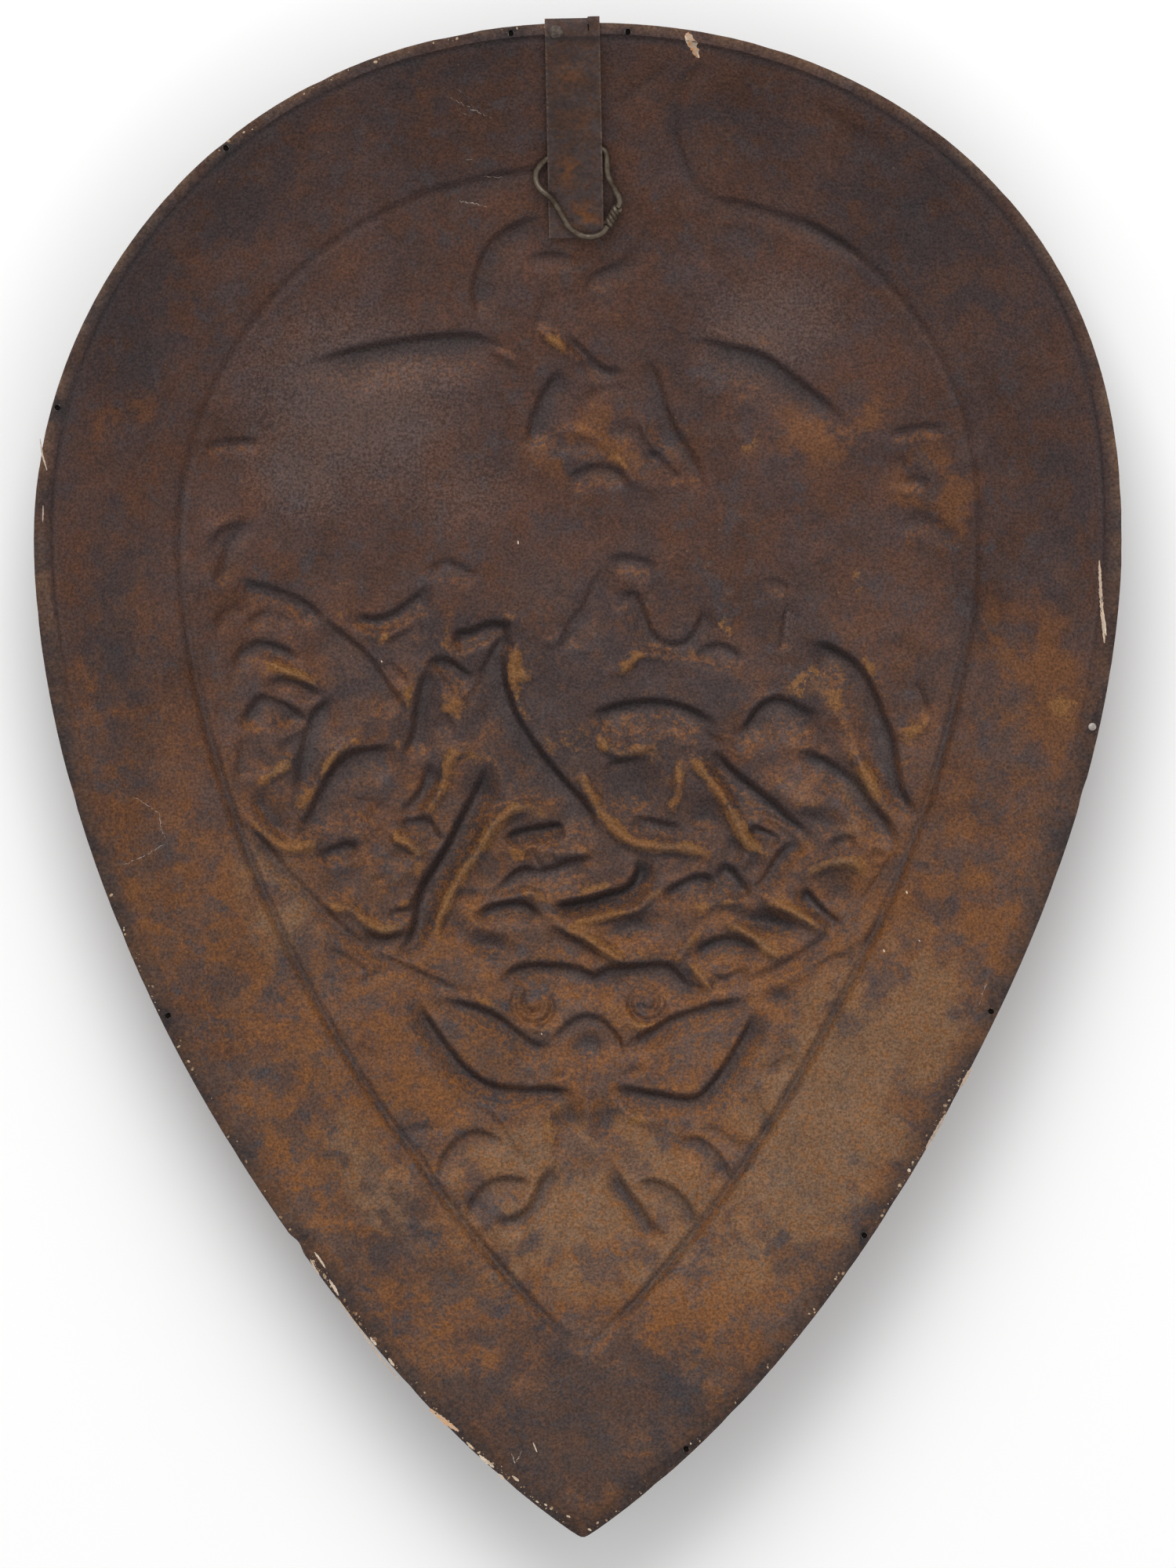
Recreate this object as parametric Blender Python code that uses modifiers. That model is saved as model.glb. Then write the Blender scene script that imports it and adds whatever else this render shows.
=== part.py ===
"""Embossed bronze parade shield, lying face down so that its hollow back looks up.

The shield is one dished plate with a flat turned rim. Its carving is pressed out towards
the front, so the back shows every figure as a hollow. A flat iron strap is hooked over the
crown of the rim and a loop of wire is threaded behind it.

Metres, +Z up. The point of the shield is at -Y and the crown at +Y.
"""

import math

import bmesh
import bpy
import numpy as np

# Outline of the plate, measured from its widest line
HALF_WIDTH = 0.2299
CROWN_RISE = 0.2190
CROWN_ROUNDNESS = 2.11
POINT_DROP = 0.4211
POINT_ROUNDING = 0.0010

# The middle line leans a little to the right at the crown and at the point
CROWN_LEAN = 0.0038
CROWN_LEAN_REACH = 0.68
POINT_LEAN = 0.0022
POINT_LEAN_START = 0.47
POINT_LEAN_REACH = 0.36

# The lower sides fall away as a slow curve plus a quick one that blunts the point
SIDE_SHARE = 0.9035
SIDE_POWER = 1.84
TIP_POWER = 10.5

# A knock in the lower left edge
DENT_DEPTH = 0.0012
DENT_LENGTH = 0.0060
DENT_PLACE = 0.601

# Dish, wall and rim
DISH_DEPTH = 0.0460
DISH_FULLNESS = 1.4
WALL = 0.0020
STEEPEST_WALL = 1.8
CROWN_RIM = 0.0046
LOWER_RIM = 0.0082
RIM_WIDENS_FROM = 0.1489
RIM_WIDENS_OVER = 0.2688
FRONT_RELIEF = 0.0020

# Holes along the rim: share of the way round from the crown, clockwise, and inset
HOLE_DIAMETER = 0.0026
HOLES = (
    (0.0102, 0.0034),
    (0.3309, 0.0030),
    (0.3953, 0.0028),
    (0.4645, 0.0026),
    (0.6661, 0.0034),
    (0.8239, 0.0024),
    (0.9027, 0.0024),
    (0.9812, 0.0028),
)
NAIL_PLACE = (0.2554, 0.0030)
NAIL_DIAMETER = 0.0020
NAIL_HEAD_DIAMETER = 0.0034
NAIL_HEAD_HEIGHT = 0.0006
NAIL_HEAD_EDGE = 0.0003
NAIL_HEAD_FLAT = 0.0024
NAIL_TAIL = 0.0006

# Hanger strap
STRAP_WIDTH = 0.0232
STRAP_THICKNESS = 0.0016
STRAP_LENGTH = 0.0918
STRAP_CENTRE = -0.0024
STRAP_TURN = math.radians(1.15)
STRAP_FOOT = 0.0080
STRAP_FOOT_GAP = 0.0007
BEND_INSIDE = 0.0003
SLIT_WIDTH = 0.0008
SLIT_LENGTH = 0.0040
TAB_WIDTH = 0.0048
TAB_LIFT = 0.0007
SOLDER_SIZE = (0.0038, 0.0030, 0.0014)
SOLDER_INSET = (0.0046, 0.0039)
SOLDER_BULGE = 0.16

# Wire, its route measured from the crown of the rim: from the knot up behind the strap
# and back down in front of it
WIRE_DIAMETER = 0.0026
TWIST_DIAMETER = 0.0044
TWIST_GAP = 0.0008
WIRE_ROUTE = (
    (0.0170, -0.0771, -0.0283),
    (0.0179, -0.0750, -0.0277),
    (0.0169, -0.0719, -0.0270),
    (0.0152, -0.0689, -0.0257),
    (0.0137, -0.0660, -0.0244),
    (0.0127, -0.0630, -0.0233),
    (0.0124, -0.0587, -0.0224),
    (0.0120, -0.0546, -0.0223),
    (0.0097, -0.0525, -0.0223),
    (0.0050, -0.0520, -0.0219),
    (0.0000, -0.0524, -0.0220),
    (-0.0056, -0.0537, -0.0225),
    (-0.0099, -0.0554, -0.0232),
    (-0.0133, -0.0573, -0.0238),
    (-0.0159, -0.0596, -0.0245),
    (-0.0176, -0.0623, -0.0252),
    (-0.0179, -0.0653, -0.0253),
    (-0.0169, -0.0683, -0.0250),
    (-0.0150, -0.0705, -0.0245),
    (-0.0128, -0.0723, -0.0245),
    (-0.0107, -0.0745, -0.0253),
    (-0.0086, -0.0777, -0.0268),
    (-0.0066, -0.0812, -0.0284),
    (-0.0046, -0.0845, -0.0295),
    (-0.0020, -0.0870, -0.0302),
    (0.0010, -0.0890, -0.0307),
    (0.0050, -0.0898, -0.0308),
    (0.0086, -0.0891, -0.0307),
    (0.0112, -0.0874, -0.0305),
    (0.0126, -0.0852, -0.0302),
)

# Gap between pieces that touch
GAP = 0.0003

# Carving, drawn in parts: the whole height of the shield is this many parts
CARVING_PARTS = 640
FOLD_STEPS = 5
FOLD_TAPER = 0.28
FOLD_END = 0.45
VOLUTE_CHANNEL = 0.42
BORDER_INSET = 61.6
BORDER_CHANNEL = 4.2
BORDER_DEPTH = 1.7
BORDER_SHOULDER = 9
SHOULDER_DEPTH = 0.5
BORDER_GAP_CENTRE = 20
BORDER_GAP = 26
BORDER_GAP_FADE = 14
BORDER_END = -338
BORDER_END_FADE = 40
MEDALLION_CENTRE = (6, -31)
MEDALLION_RADIUS = 164
FIELD_EDGE = 7

# Mesh of the plate before it is thinned
OUTLINE_STEPS = 800
STEEPEST_RAY = 0.6
RAYS = 460
RINGS = 104
KEPT_FACES = 0.0420
LEVEL_REACH = 0.0002
HOLE_SIDES = 10

HEIGHT = CROWN_RISE + POINT_DROP
PART = HEIGHT / CARVING_PARTS
RIM_TOP = DISH_DEPTH + WALL + FRONT_RELIEF
BEND_RADIUS = BEND_INSIDE + STRAP_THICKNESS / 2
STRAP_SKEW = math.sin(STRAP_TURN) * STRAP_WIDTH / 2
CROWN_OVERHANG = GAP + STRAP_THICKNESS + TAB_LIFT + STRAP_SKEW
WIDEST_Y = (POINT_DROP - CROWN_RISE - CROWN_OVERHANG) / 2


def clear_scene():
    """Remove what the scene starts with."""
    for item in list(bpy.data.objects):
        bpy.data.objects.remove(item, do_unlink=True)


def new_collection(name):
    collection = bpy.data.collections.new(name)
    bpy.context.scene.collection.children.link(collection)
    return collection


def new_material(name, color, metallic, roughness):
    material = bpy.data.materials.new(name)
    material.use_nodes = True
    shader = material.node_tree.nodes["Principled BSDF"]
    shader.inputs["Base Color"].default_value = (*color, 1.0)
    shader.inputs["Metallic"].default_value = metallic
    shader.inputs["Roughness"].default_value = roughness
    return material


def place(obj, collection, material):
    collection.objects.link(obj)
    obj.data.materials.append(material)
    return obj


def smooth(share):
    """Ease from 0 to 1."""
    share = np.clip(share, 0.0, 1.0)
    return share * share * (3.0 - 2.0 * share)


# Outline


def lean(rise):
    """How far the middle line stands to the right, at a height over the widest line."""
    crown = CROWN_LEAN * smooth(rise / (CROWN_LEAN_REACH * CROWN_RISE))
    below = -rise / POINT_DROP - POINT_LEAN_START
    point = POINT_LEAN * smooth(below / POINT_LEAN_REACH)
    return crown + point


def half_width(rise):
    """Half the width of the plate at a height over the widest line."""
    up = np.clip(rise / CROWN_RISE, 0.0, 1.0)
    crown = HALF_WIDTH * (1.0 - up**CROWN_ROUNDNESS) ** (1.0 / CROWN_ROUNDNESS)
    sharp_drop = POINT_DROP + POINT_ROUNDING
    down = np.clip(-rise / sharp_drop, 0.0, 1.0)
    side = 1.0 - SIDE_SHARE * down**SIDE_POWER - (1.0 - SIDE_SHARE) * down**TIP_POWER
    over_tip = np.maximum(sharp_drop + rise, POINT_ROUNDING)
    lower = HALF_WIDTH * side * np.sqrt(1.0 - (POINT_ROUNDING / over_tip) ** 2)
    return np.where(rise >= 0.0, crown, lower)


def outline(count):
    """Points of the outline, evenly spaced clockwise from the crown."""
    crown = CROWN_RISE * np.cos(np.linspace(0.0, math.pi / 2, OUTLINE_STEPS))
    sides = -POINT_DROP * np.linspace(0.0, 1.0, OUTLINE_STEPS * 3)[1:]
    rise = np.concatenate([crown, sides])
    right = np.stack([lean(rise) + half_width(rise), rise + WIDEST_Y], 1)
    left = np.stack([lean(rise) - half_width(rise), rise + WIDEST_Y], 1)[::-1]
    loop = np.concatenate([right, left[1:]])
    run = np.concatenate([[0.0], np.cumsum(np.hypot(*np.diff(loop, axis=0).T))])
    wanted = np.linspace(0.0, run[-1], count + 1)[:-1]
    points = np.stack([np.interp(wanted, run, loop[:, axis]) for axis in (0, 1)], 1)
    distance = np.abs(wanted / run[-1] - DENT_PLACE) * run[-1]
    dent = DENT_DEPTH * smooth(1.0 - distance / DENT_LENGTH)
    return points + inward(points) * dent[:, None]


def inward(points):
    """Unit directions square to the outline, pointing into the plate."""
    along = np.roll(points, -1, axis=0) - np.roll(points, 1, axis=0)
    along /= np.hypot(*along.T)[:, None]
    return np.stack([along[:, 1], -along[:, 0]], 1)


def rim_width(points):
    """Width of the flat rim beside each point of the outline."""
    lower = smooth((RIM_WIDENS_FROM + WIDEST_Y - points[:, 1]) / RIM_WIDENS_OVER)
    return CROWN_RIM + (LOWER_RIM - CROWN_RIM) * lower


def rim_inside(points):
    """The line where the flat rim turns down into the dish, one point for each ray."""
    to_centre = -points
    reach = np.hypot(*to_centre.T)
    to_centre = to_centre / reach[:, None]
    slant = np.clip(np.sum(to_centre * inward(points), axis=1), STEEPEST_RAY, 1.0)
    return points + to_centre * (rim_width(points) / slant)[:, None]


def rim_point(share, inset):
    """A point on the rim, by its share of the way round and its distance from the edge."""
    points = outline(RAYS * 4)
    index = round(share * len(points)) % len(points)
    return points[index] + inward(points)[index] * inset


# Carving


def fold(parts, path, edge, spread, depth):
    """A hollow along a path, with a steep wall on the left of the way and a slow one
    on its right. Its sizes, like the path, are counted in parts."""
    control = np.array(path, float)
    spans = len(control) - 1
    before = 2 * control[0] - control[1]
    after = 2 * control[-1] - control[-2]
    ring = np.concatenate([[before], control, [after]])
    line = [control[0]]
    for span in range(spans):
        p0, p1, p2, p3 = ring[span : span + 4]
        for step in np.linspace(0.0, 1.0, FOLD_STEPS + 1)[1:]:
            pull = (p2 - p0) * step
            bend = (2 * p0 - 5 * p1 + 4 * p2 - p3) * step**2
            turn = (3 * p1 - p0 - 3 * p2 + p3) * step**3
            line.append(p1 + 0.5 * (pull + bend + turn))
    line = np.array(line)
    height = np.zeros(len(parts))
    margin = max(edge, spread)
    low = line.min(axis=0) - margin
    high = line.max(axis=0) + margin
    near = np.all((parts > low) & (parts < high), axis=1)
    here = parts[near]
    start = line[:-1]
    step = line[1:] - start
    length = np.hypot(*step.T)
    run = np.concatenate([[0.0], np.cumsum(length)])
    away = here[:, None] - start[None]
    share = np.clip(np.sum(away * step, axis=2) / length**2, 0.0, 1.0)
    offset = away - share[..., None] * step
    gap = np.hypot(offset[..., 0], offset[..., 1])
    best = gap.argmin(axis=1)
    row = np.arange(len(here))
    side = step[best, 0] * away[row, best, 1] - step[best, 1] * away[row, best, 0]
    along = (run[best] + share[row, best] * length[best]) / run[-1]
    taper = smooth(np.minimum(along, 1.0 - along) / FOLD_TAPER)
    slow = spread * (FOLD_END + (1.0 - FOLD_END) * taper)
    wall = np.where(side > 0.0, edge, slow)
    height[near] = depth * taper * smooth(1.0 - gap[row, best] / wall)
    return height


def bowl(parts, centre, size, turn, depth):
    """A rounded hollow: an oval of two half sizes, turned by some degrees."""
    angle = math.radians(turn)
    away = parts - np.array(centre)
    along = (away[:, 0] * math.cos(angle) + away[:, 1] * math.sin(angle)) / size[0]
    across = (away[:, 1] * math.cos(angle) - away[:, 0] * math.sin(angle)) / size[1]
    return depth * smooth(1.0 - np.hypot(along, across))


def volute(parts, centre, radius, turns, depth, hand):
    """A spiral channel that winds out to a radius."""
    away = parts - np.array(centre)
    reach = np.hypot(*away.T)
    angle = np.arctan2(away[:, 1], hand * away[:, 0]) / (2 * math.pi)
    pitch = radius / turns
    off = np.abs((reach / pitch - angle + 0.5) % 1.0 - 0.5) * pitch
    fade = smooth((radius - reach) / pitch) * smooth(reach / pitch)
    return depth * fade * smooth(1.0 - off / (VOLUTE_CHANNEL * pitch))


def arc_path(centre, radius, start, end, count=7):
    """Points of an arc, from a start angle to an end angle in degrees."""
    angles = [math.radians(start + (end - start) * step / (count - 1)) for step in range(count)]
    return [(centre[0] + radius * math.cos(a), centre[1] + radius * math.sin(a)) for a in angles]


def border(parts, edge_distance):
    """The raised band that follows the outline, open behind the strap and at the point."""
    channel = smooth(1.0 - np.abs(edge_distance - BORDER_INSET) / BORDER_CHANNEL)
    middle = BORDER_INSET + BORDER_SHOULDER / 2
    shoulder = smooth(1.0 - np.abs(edge_distance - middle) / BORDER_SHOULDER)
    off_gap = np.abs(parts[:, 0] - BORDER_GAP_CENTRE) - BORDER_GAP
    closed = np.where(parts[:, 1] > 0, smooth(off_gap / BORDER_GAP_FADE), 1.0)
    fade = smooth((parts[:, 1] - BORDER_END) / BORDER_END_FADE)
    return (BORDER_DEPTH * channel + SHOULDER_DEPTH * shoulder) * fade * closed


def crown_scroll(parts):
    """The band turns up beside the strap and curls over."""
    return [
        fold(parts, [(60, 143), (49, 149), (41, 165), (43, 186), (54, 197)], 2.6, 9, 1.9),
        fold(parts, [(12, 184), (20, 187), (28, 193), (40, 203)], 3, 9, 2.0),
        fold(parts, [(96, 186), (108, 180), (120, 172), (136, 168)], 3, 12, 1.4),
        fold(parts, [(-128, 178), (-112, 184), (-96, 186)], 3, 12, 1.4),
    ]


def flying_figure(parts):
    """A winged figure in a blown robe, high in the medallion."""
    return [
        fold(parts, [(-36, 88), (-44, 108), (-38, 125), (-15, 135)], 3.6, 20, 3.4),
        fold(parts, [(3, 104), (12, 112), (24, 119), (32, 138)], 3, 11, 2.4),
        fold(parts, [(-22, 118), (-10, 121), (2, 122)], 2.6, 6, 2.6),
        fold(parts, [(-3, 89), (7, 80), (16, 69), (23, 74)], 3, 9, 2.6),
        fold(parts, [(-19, 42), (-16, 54), (-11, 64), (-3, 76)], 3.6, 12, 3.4),
        fold(parts, [(23, 86), (34, 66), (46, 44), (54, 20)], 3, 10, 2.6),
        fold(parts, [(26, 35), (33, 36), (41, 32)], 2.6, 6, 2.2),
        fold(parts, [(-14, 93), (-8, 99), (-2, 101)], 2.6, 7, 1.8),
        fold(parts, [(-119, 72), (-95, 80), (-60, 86), (-40, 84), (-24, 76)], 3.4, 22, 4.0),
        fold(parts, [(43, 83), (66, 82), (85, 74), (101, 62), (118, 47)], 3.4, 22, 4.0),
    ]


def side_bands(parts):
    """Short bands that tie the medallion to the border."""
    return [
        fold(parts, [(-159, 40), (-147, 42), (-133, 42)], 2.6, 6, 2.8),
        fold(parts, [(131, 45), (144, 48), (158, 48)], 2.6, 6, 2.8),
        fold(parts, [(136, 23), (142, 26), (150, 25)], 2.6, 6, 2.4),
        fold(parts, [(134, 4), (146, 9), (160, 0)], 6, 9, 2.0),
        fold(parts, [(-158, 4), (-146, 8), (-134, 2)], 6, 9, 1.6),
    ]


def fallen_rider(parts):
    """A horse that goes down at the left, with its rider behind its neck."""
    return [
        fold(parts, [(-148, -13), (-127, -22), (-105, -36), (-87, -55), (-72, -77)], 3.8, 17, 4.6),
        fold(parts, [(-97, -28), (-79, -34), (-60, -22)], 3.4, 10, 3.8),
        fold(parts, [(-64, -11), (-53, -8), (-41, -15)], 3, 8, 2.4),
        fold(parts, [(-143, -101), (-140, -78), (-128, -69), (-113, -79)], 3.8, 13, 4.8),
        fold(parts, [(-118, -107), (-115, -90), (-109, -73), (-96, -70)], 3.8, 12, 4.2),
        fold(parts, [(-121, -127), (-111, -109), (-98, -97), (-70, -85)], 3.8, 22, 5.4),
        fold(parts, [(-114, -133), (-104, -131), (-94, -129)], 3, 7, 4.4),
        fold(parts, [(-75, -119), (-66, -122), (-58, -129)], 3, 8, 3.6),
        fold(parts, [(-144, -106), (-139, -115), (-131, -120)], 3.4, 7, 3.6),
        fold(parts, [(-112, -101), (-100, -106), (-86, -105)], 3, 8, 3.0),
        fold(parts, [(-142, -42), (-132, -38), (-121, -44)], 3, 10, 2.6),
    ]


def striding_warrior(parts):
    """A man who strides over the fallen, one arm raised and his cloak behind him."""
    return [
        fold(parts, [(-56, -40), (-43, -38), (-30, -37)], 3.4, 9, 5.2),
        fold(parts, [(-41, -59), (-36, -48), (-30, -37)], 4, 7, 5.0),
        fold(parts, [(-63, -52), (-52, -51), (-40, -58)], 3.4, 11, 4.8),
        fold(parts, [(-72, -92), (-69, -74), (-66, -60), (-60, -51)], 3.4, 10, 4.4),
        fold(parts, [(-37, -60), (-30, -77), (-19, -92), (-4, -103), (7, -129)], 3.4, 14, 5.8),
        fold(parts, [(-81, -176), (-69, -159), (-60, -143), (-49, -123), (-38, -101)], 4.4, 8, 6.6),
        fold(parts, [(-60, -104), (-53, -93), (-46, -86)], 3.4, 9, 3.4),
        fold(parts, [(-92, -170), (-84, -177), (-73, -176)], 3.6, 7, 4.6),
        fold(parts, [(-49, -72), (-45, -80), (-40, -84)], 3, 10, 2.4),
    ]


def fallen_men(parts):
    """Men who lie under the fight, limbs across each other."""
    return [
        fold(parts, [(-32, -127), (-19, -124), (-3, -121)], 3.4, 6, 5.8),
        fold(parts, [(-29, -144), (-10, -139), (14, -136)], 3, 13, 5.0),
        fold(parts, [(-43, -161), (-33, -157), (-22, -157), (-12, -163)], 3.4, 9, 5.2),
        fold(parts, [(-12, -158), (8, -155), (21, -150), (29, -137)], 3.8, 9, 5.8),
        fold(parts, [(-3, -165), (18, -169), (40, -173)], 3.4, 7, 4.2),
        fold(parts, [(38, -146), (52, -140), (66, -138)], 3.4, 9, 4.4),
        fold(parts, [(68, -136), (74, -146), (84, -150)], 3.4, 9, 4.0),
        bowl(parts, (84, -163), (20, 7), -8, 5.0),
        bowl(parts, (-40, -172), (17, 7), -8, 4.6),
        bowl(parts, (44, -168), (18, 7), 6, 3.6),
        bowl(parts, (64, -183), (19, 9), 4, 3.6),
    ]


def rearing_horse(parts):
    """A horse and its shield bearer at the right."""
    return [
        fold(parts, [(5, -80), (20, -73), (38, -70), (56, -73), (72, -82)], 3.6, 16, 5.2),
        fold(parts, [(70, -82), (84, -70), (94, -71), (104, -77)], 3.4, 13, 4.6),
        fold(parts, [(56, -88), (70, -102), (84, -114), (106, -127)], 3.6, 11, 5.6),
        fold(parts, [(98, -86), (112, -97), (124, -112), (136, -131)], 3.4, 11, 5.0),
        fold(parts, [(93, -44), (110, -47), (122, -60), (129, -80), (145, -118)], 3.8, 17, 6.2),
        fold(parts, [(74, -123), (84, -127), (97, -133)], 3, 8, 4.8),
        fold(parts, [(89, -20), (91, -34), (94, -47)], 2.8, 8, 3.2),
        fold(parts, [(94, -146), (103, -158), (114, -167)], 3.6, 8, 4.8),
        fold(parts, [(12, -84), (24, -80), (36, -84)], 3, 9, 3.2),
        fold(parts, [(52, -92), (50, -106), (42, -118)], 3.4, 8, 3.0),
        fold(parts, [(2, -28), (8, -17), (14, -9), (26, -6), (40, -11)], 2.8, 13, 3.2),
        fold(parts, [(16, -20), (24, -27), (31, -37), (41, -43), (52, -36)], 2.8, 8, 3.2),
        fold(parts, [(60, -30), (72, -33), (82, -28)], 3, 10, 2.4),
        fold(parts, [(78, -12), (85, -9), (92, -13)], 2.8, 7, 2.2),
    ]


def medallion_edge(parts):
    """The lower edge of the medallion, a double band that ends at the bracket."""
    left = arc_path(MEDALLION_CENTRE, MEDALLION_RADIUS, 255, 204)
    right = arc_path(MEDALLION_CENTRE, MEDALLION_RADIUS, 354, 287)
    outer = MEDALLION_RADIUS + 16
    left_outer = arc_path(MEDALLION_CENTRE, outer, 242, 226, 4)
    right_outer = arc_path(MEDALLION_CENTRE, outer, 318, 294, 4)
    return [
        fold(parts, left[::-1], 3, 6, 3.0),
        fold(parts, right[::-1], 3, 6, 3.0),
        fold(parts, left_outer[::-1], 2.6, 5, 1.8),
        fold(parts, right_outer[::-1], 2.6, 5, 1.8),
    ]


def bracket(parts):
    """The bracket with two volutes under the medallion."""
    top = [(-36, -190), (-30, -183), (-20, -181), (6, -184), (32, -181), (42, -183), (54, -191)]
    return [
        fold(parts, top, 3.2, 13, 4.8),
        volute(parts, (-17, -195), 12.5, 2.6, 1.6, -1),
        volute(parts, (29, -194), 12.5, 2.6, 1.6, 1),
        bowl(parts, (85, -192), (9, 5), 10, 3.0),
        bowl(parts, (-58, -196), (6, 4), 0, 2.4),
    ]


def winged_mask(parts):
    """A calm mask between two wings that hangs below the bracket."""
    return [
        fold(parts, [(-62, -195), (-46, -199), (-32, -207), (-20, -214), (-8, -216)], 2.6, 8, 3.8),
        fold(parts, [(20, -216), (34, -207), (50, -200), (64, -196), (77, -195)], 2.6, 8, 3.8),
        fold(parts, [(-69, -192), (-60, -207), (-46, -226), (-30, -233), (0, -234)], 3, 7, 5.0),
        fold(parts, [(12, -234), (36, -233), (54, -234), (68, -220), (79, -194)], 3, 7, 4.6),
        bowl(parts, (4, -217), (15, 17), 0, 5.4),
        fold(parts, [(-9, -214), (-3, -205), (4, -203), (12, -206), (18, -214)], 2.6, 8, 3.0),
        bowl(parts, (-4, -243), (7, 12), 12, 3.6),
        bowl(parts, (12, -243), (7, 12), -12, 3.6),
    ]


def lower_scrolls(parts):
    """Scrolls and straps that fill the point."""
    return [
        fold(parts, [(-63, -268), (-57, -256), (-45, -252), (-30, -259)], 3, 12, 3.6),
        fold(parts, [(-46, -285), (-39, -274), (-28, -272), (-18, -273)], 3, 10, 3.4),
        fold(parts, [(-33, -288), (-22, -284), (-15, -275), (-8, -266)], 4, 8, 4.2),
        fold(parts, [(15, -266), (21, -278), (29, -287), (39, -296)], 4, 8, 4.2),
        fold(parts, [(23, -274), (30, -272), (40, -275), (53, -289)], 3, 11, 3.4),
        fold(parts, [(37, -257), (47, -253), (57, -258), (66, -271)], 3, 12, 3.4),
        fold(parts, [(53, -248), (62, -249), (70, -255), (80, -252)], 2.6, 7, 2.4),
        fold(parts, [(-50, -234), (-33, -248), (-18, -268)], 2.4, 7, 2.0),
        fold(parts, [(43, -253), (54, -242), (76, -227)], 2.4, 7, 2.0),
        fold(parts, [(-96, -230), (-84, -226), (-72, -232)], 2.6, 8, 1.6),
        fold(parts, [(-72, -247), (-64, -248), (-56, -248)], 2.6, 7, 1.8),
    ]


def carving(points, edge_distance):
    """Depth of all the carving at some points of the plate, in metres."""
    parts = (points - np.array([0.0, WIDEST_Y])) / PART
    makers = (
        crown_scroll,
        flying_figure,
        side_bands,
        fallen_rider,
        striding_warrior,
        fallen_men,
        rearing_horse,
        medallion_edge,
        bracket,
        winged_mask,
        lower_scrolls,
    )
    total = np.zeros(len(parts))
    for maker in makers:
        for height in maker(parts):
            total += height**3
    joined = np.cbrt(total) + border(parts, edge_distance / PART)
    return joined * PART * smooth(edge_distance / PART / FIELD_EDGE - 1.0)


# Shield plate


def dish(points, inside):
    """Depth of the plain dish below the rim."""
    bottom = inside[:, 1].argmin()
    right = inside[: bottom + 1][::-1]
    left = np.concatenate([inside[bottom:], inside[:1]])
    right_x = np.interp(points[:, 1], right[:, 1], right[:, 0])
    left_x = np.interp(points[:, 1], left[:, 1], left[:, 0])
    room = (points[:, 0] - left_x) * (right_x - points[:, 0]) / HALF_WIDTH**2
    return DISH_DEPTH * (1.0 - (1.0 - np.clip(room, 0.0, 1.0)) ** DISH_FULLNESS)


def distance_to_edge(points, edge):
    """Distance from each point to the outline."""
    result = np.empty(len(points))
    for first in range(0, len(points), 4000):
        block = points[first : first + 4000]
        away = block[:, None] - edge[None]
        result[first : first + 4000] = np.sqrt(np.min(np.sum(away**2, axis=2), axis=1))
    return result


def ring_faces(first, count, rings, flip):
    """Quads between rings of points that share their rays."""
    faces = []
    for ring in range(rings - 1):
        for ray in range(count):
            turn = (ray + 1) % count
            a = first + ring * count + ray
            b = first + ring * count + turn
            quad = (a, b, b + count, a + count)
            faces.append(quad[::-1] if flip else quad)
    return faces


def plate_surface():
    """Points of the back of the plate: outline, rim and dish, ring by ring, then centre."""
    edge = outline(RAYS)
    inside = rim_inside(edge)
    shares = np.linspace(1.0, 0.0, RINGS)[:-1]
    rings = [edge] + [inside * share for share in shares]
    flat = np.concatenate(rings + [np.zeros((1, 2))])
    field = flat[RAYS:]
    down = np.zeros(len(flat))
    down[RAYS:] = dish(field, inside)
    down[RAYS:] += carving(field, distance_to_edge(field, outline(RAYS * 2)))
    return flat, RIM_TOP - down


def build_plate(collection, material, cutters):
    """The dished plate as one closed body, thinned to the faces that its form needs."""
    flat, height = plate_surface()
    count = len(flat)
    rings = (count - 1) // RAYS
    back = np.column_stack([flat, height])
    back_faces = ring_faces(0, RAYS, rings, True)
    last = (rings - 1) * RAYS
    back_faces += [(last + (ray + 1) % RAYS, last + ray, count - 1) for ray in range(RAYS)]

    surface = bpy.data.meshes.new("back_surface")
    surface.from_pydata(back.tolist(), [], back_faces)
    upright = np.empty(count * 3)
    surface.vertices.foreach_get("normal", upright)
    upright = np.abs(upright.reshape(-1, 3)[:, 2])
    bpy.data.meshes.remove(surface)

    wall = WALL / np.clip(upright, 1.0 / STEEPEST_WALL, 1.0)
    wall[: 2 * RAYS] = WALL
    front = np.column_stack([flat, np.maximum(height - wall, 0.0)])
    front_faces = [tuple(index + count for index in face[::-1]) for face in back_faces]
    rim_faces = []
    for ray in range(RAYS):
        turn = (ray + 1) % RAYS
        rim_faces.append((ray, turn, turn + count, ray + count))

    mesh = bpy.data.meshes.new("shield_plate")
    points = np.concatenate([back, front]).tolist()
    mesh.from_pydata(points, [], back_faces + front_faces + rim_faces)
    plate = place(bpy.data.objects.new("shield_plate", mesh), collection, material)

    thin_out(plate)
    level_off(plate.data, (0.0, RIM_TOP - WALL, RIM_TOP))
    drill = plate.modifiers.new("holes", "BOOLEAN")
    drill.operation = "DIFFERENCE"
    drill.solver = "EXACT"
    drill.object = hole_cutter(cutters)
    return plate


def thin_out(obj):
    """Keep only the faces that the form of a body needs."""
    thin = obj.modifiers.new("thin", "DECIMATE")
    thin.decimate_type = "COLLAPSE"
    thin.ratio = KEPT_FACES
    depsgraph = bpy.context.evaluated_depsgraph_get()
    mesh = bpy.data.meshes.new_from_object(obj.evaluated_get(depsgraph))
    obj.modifiers.clear()
    obj.data = mesh


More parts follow.
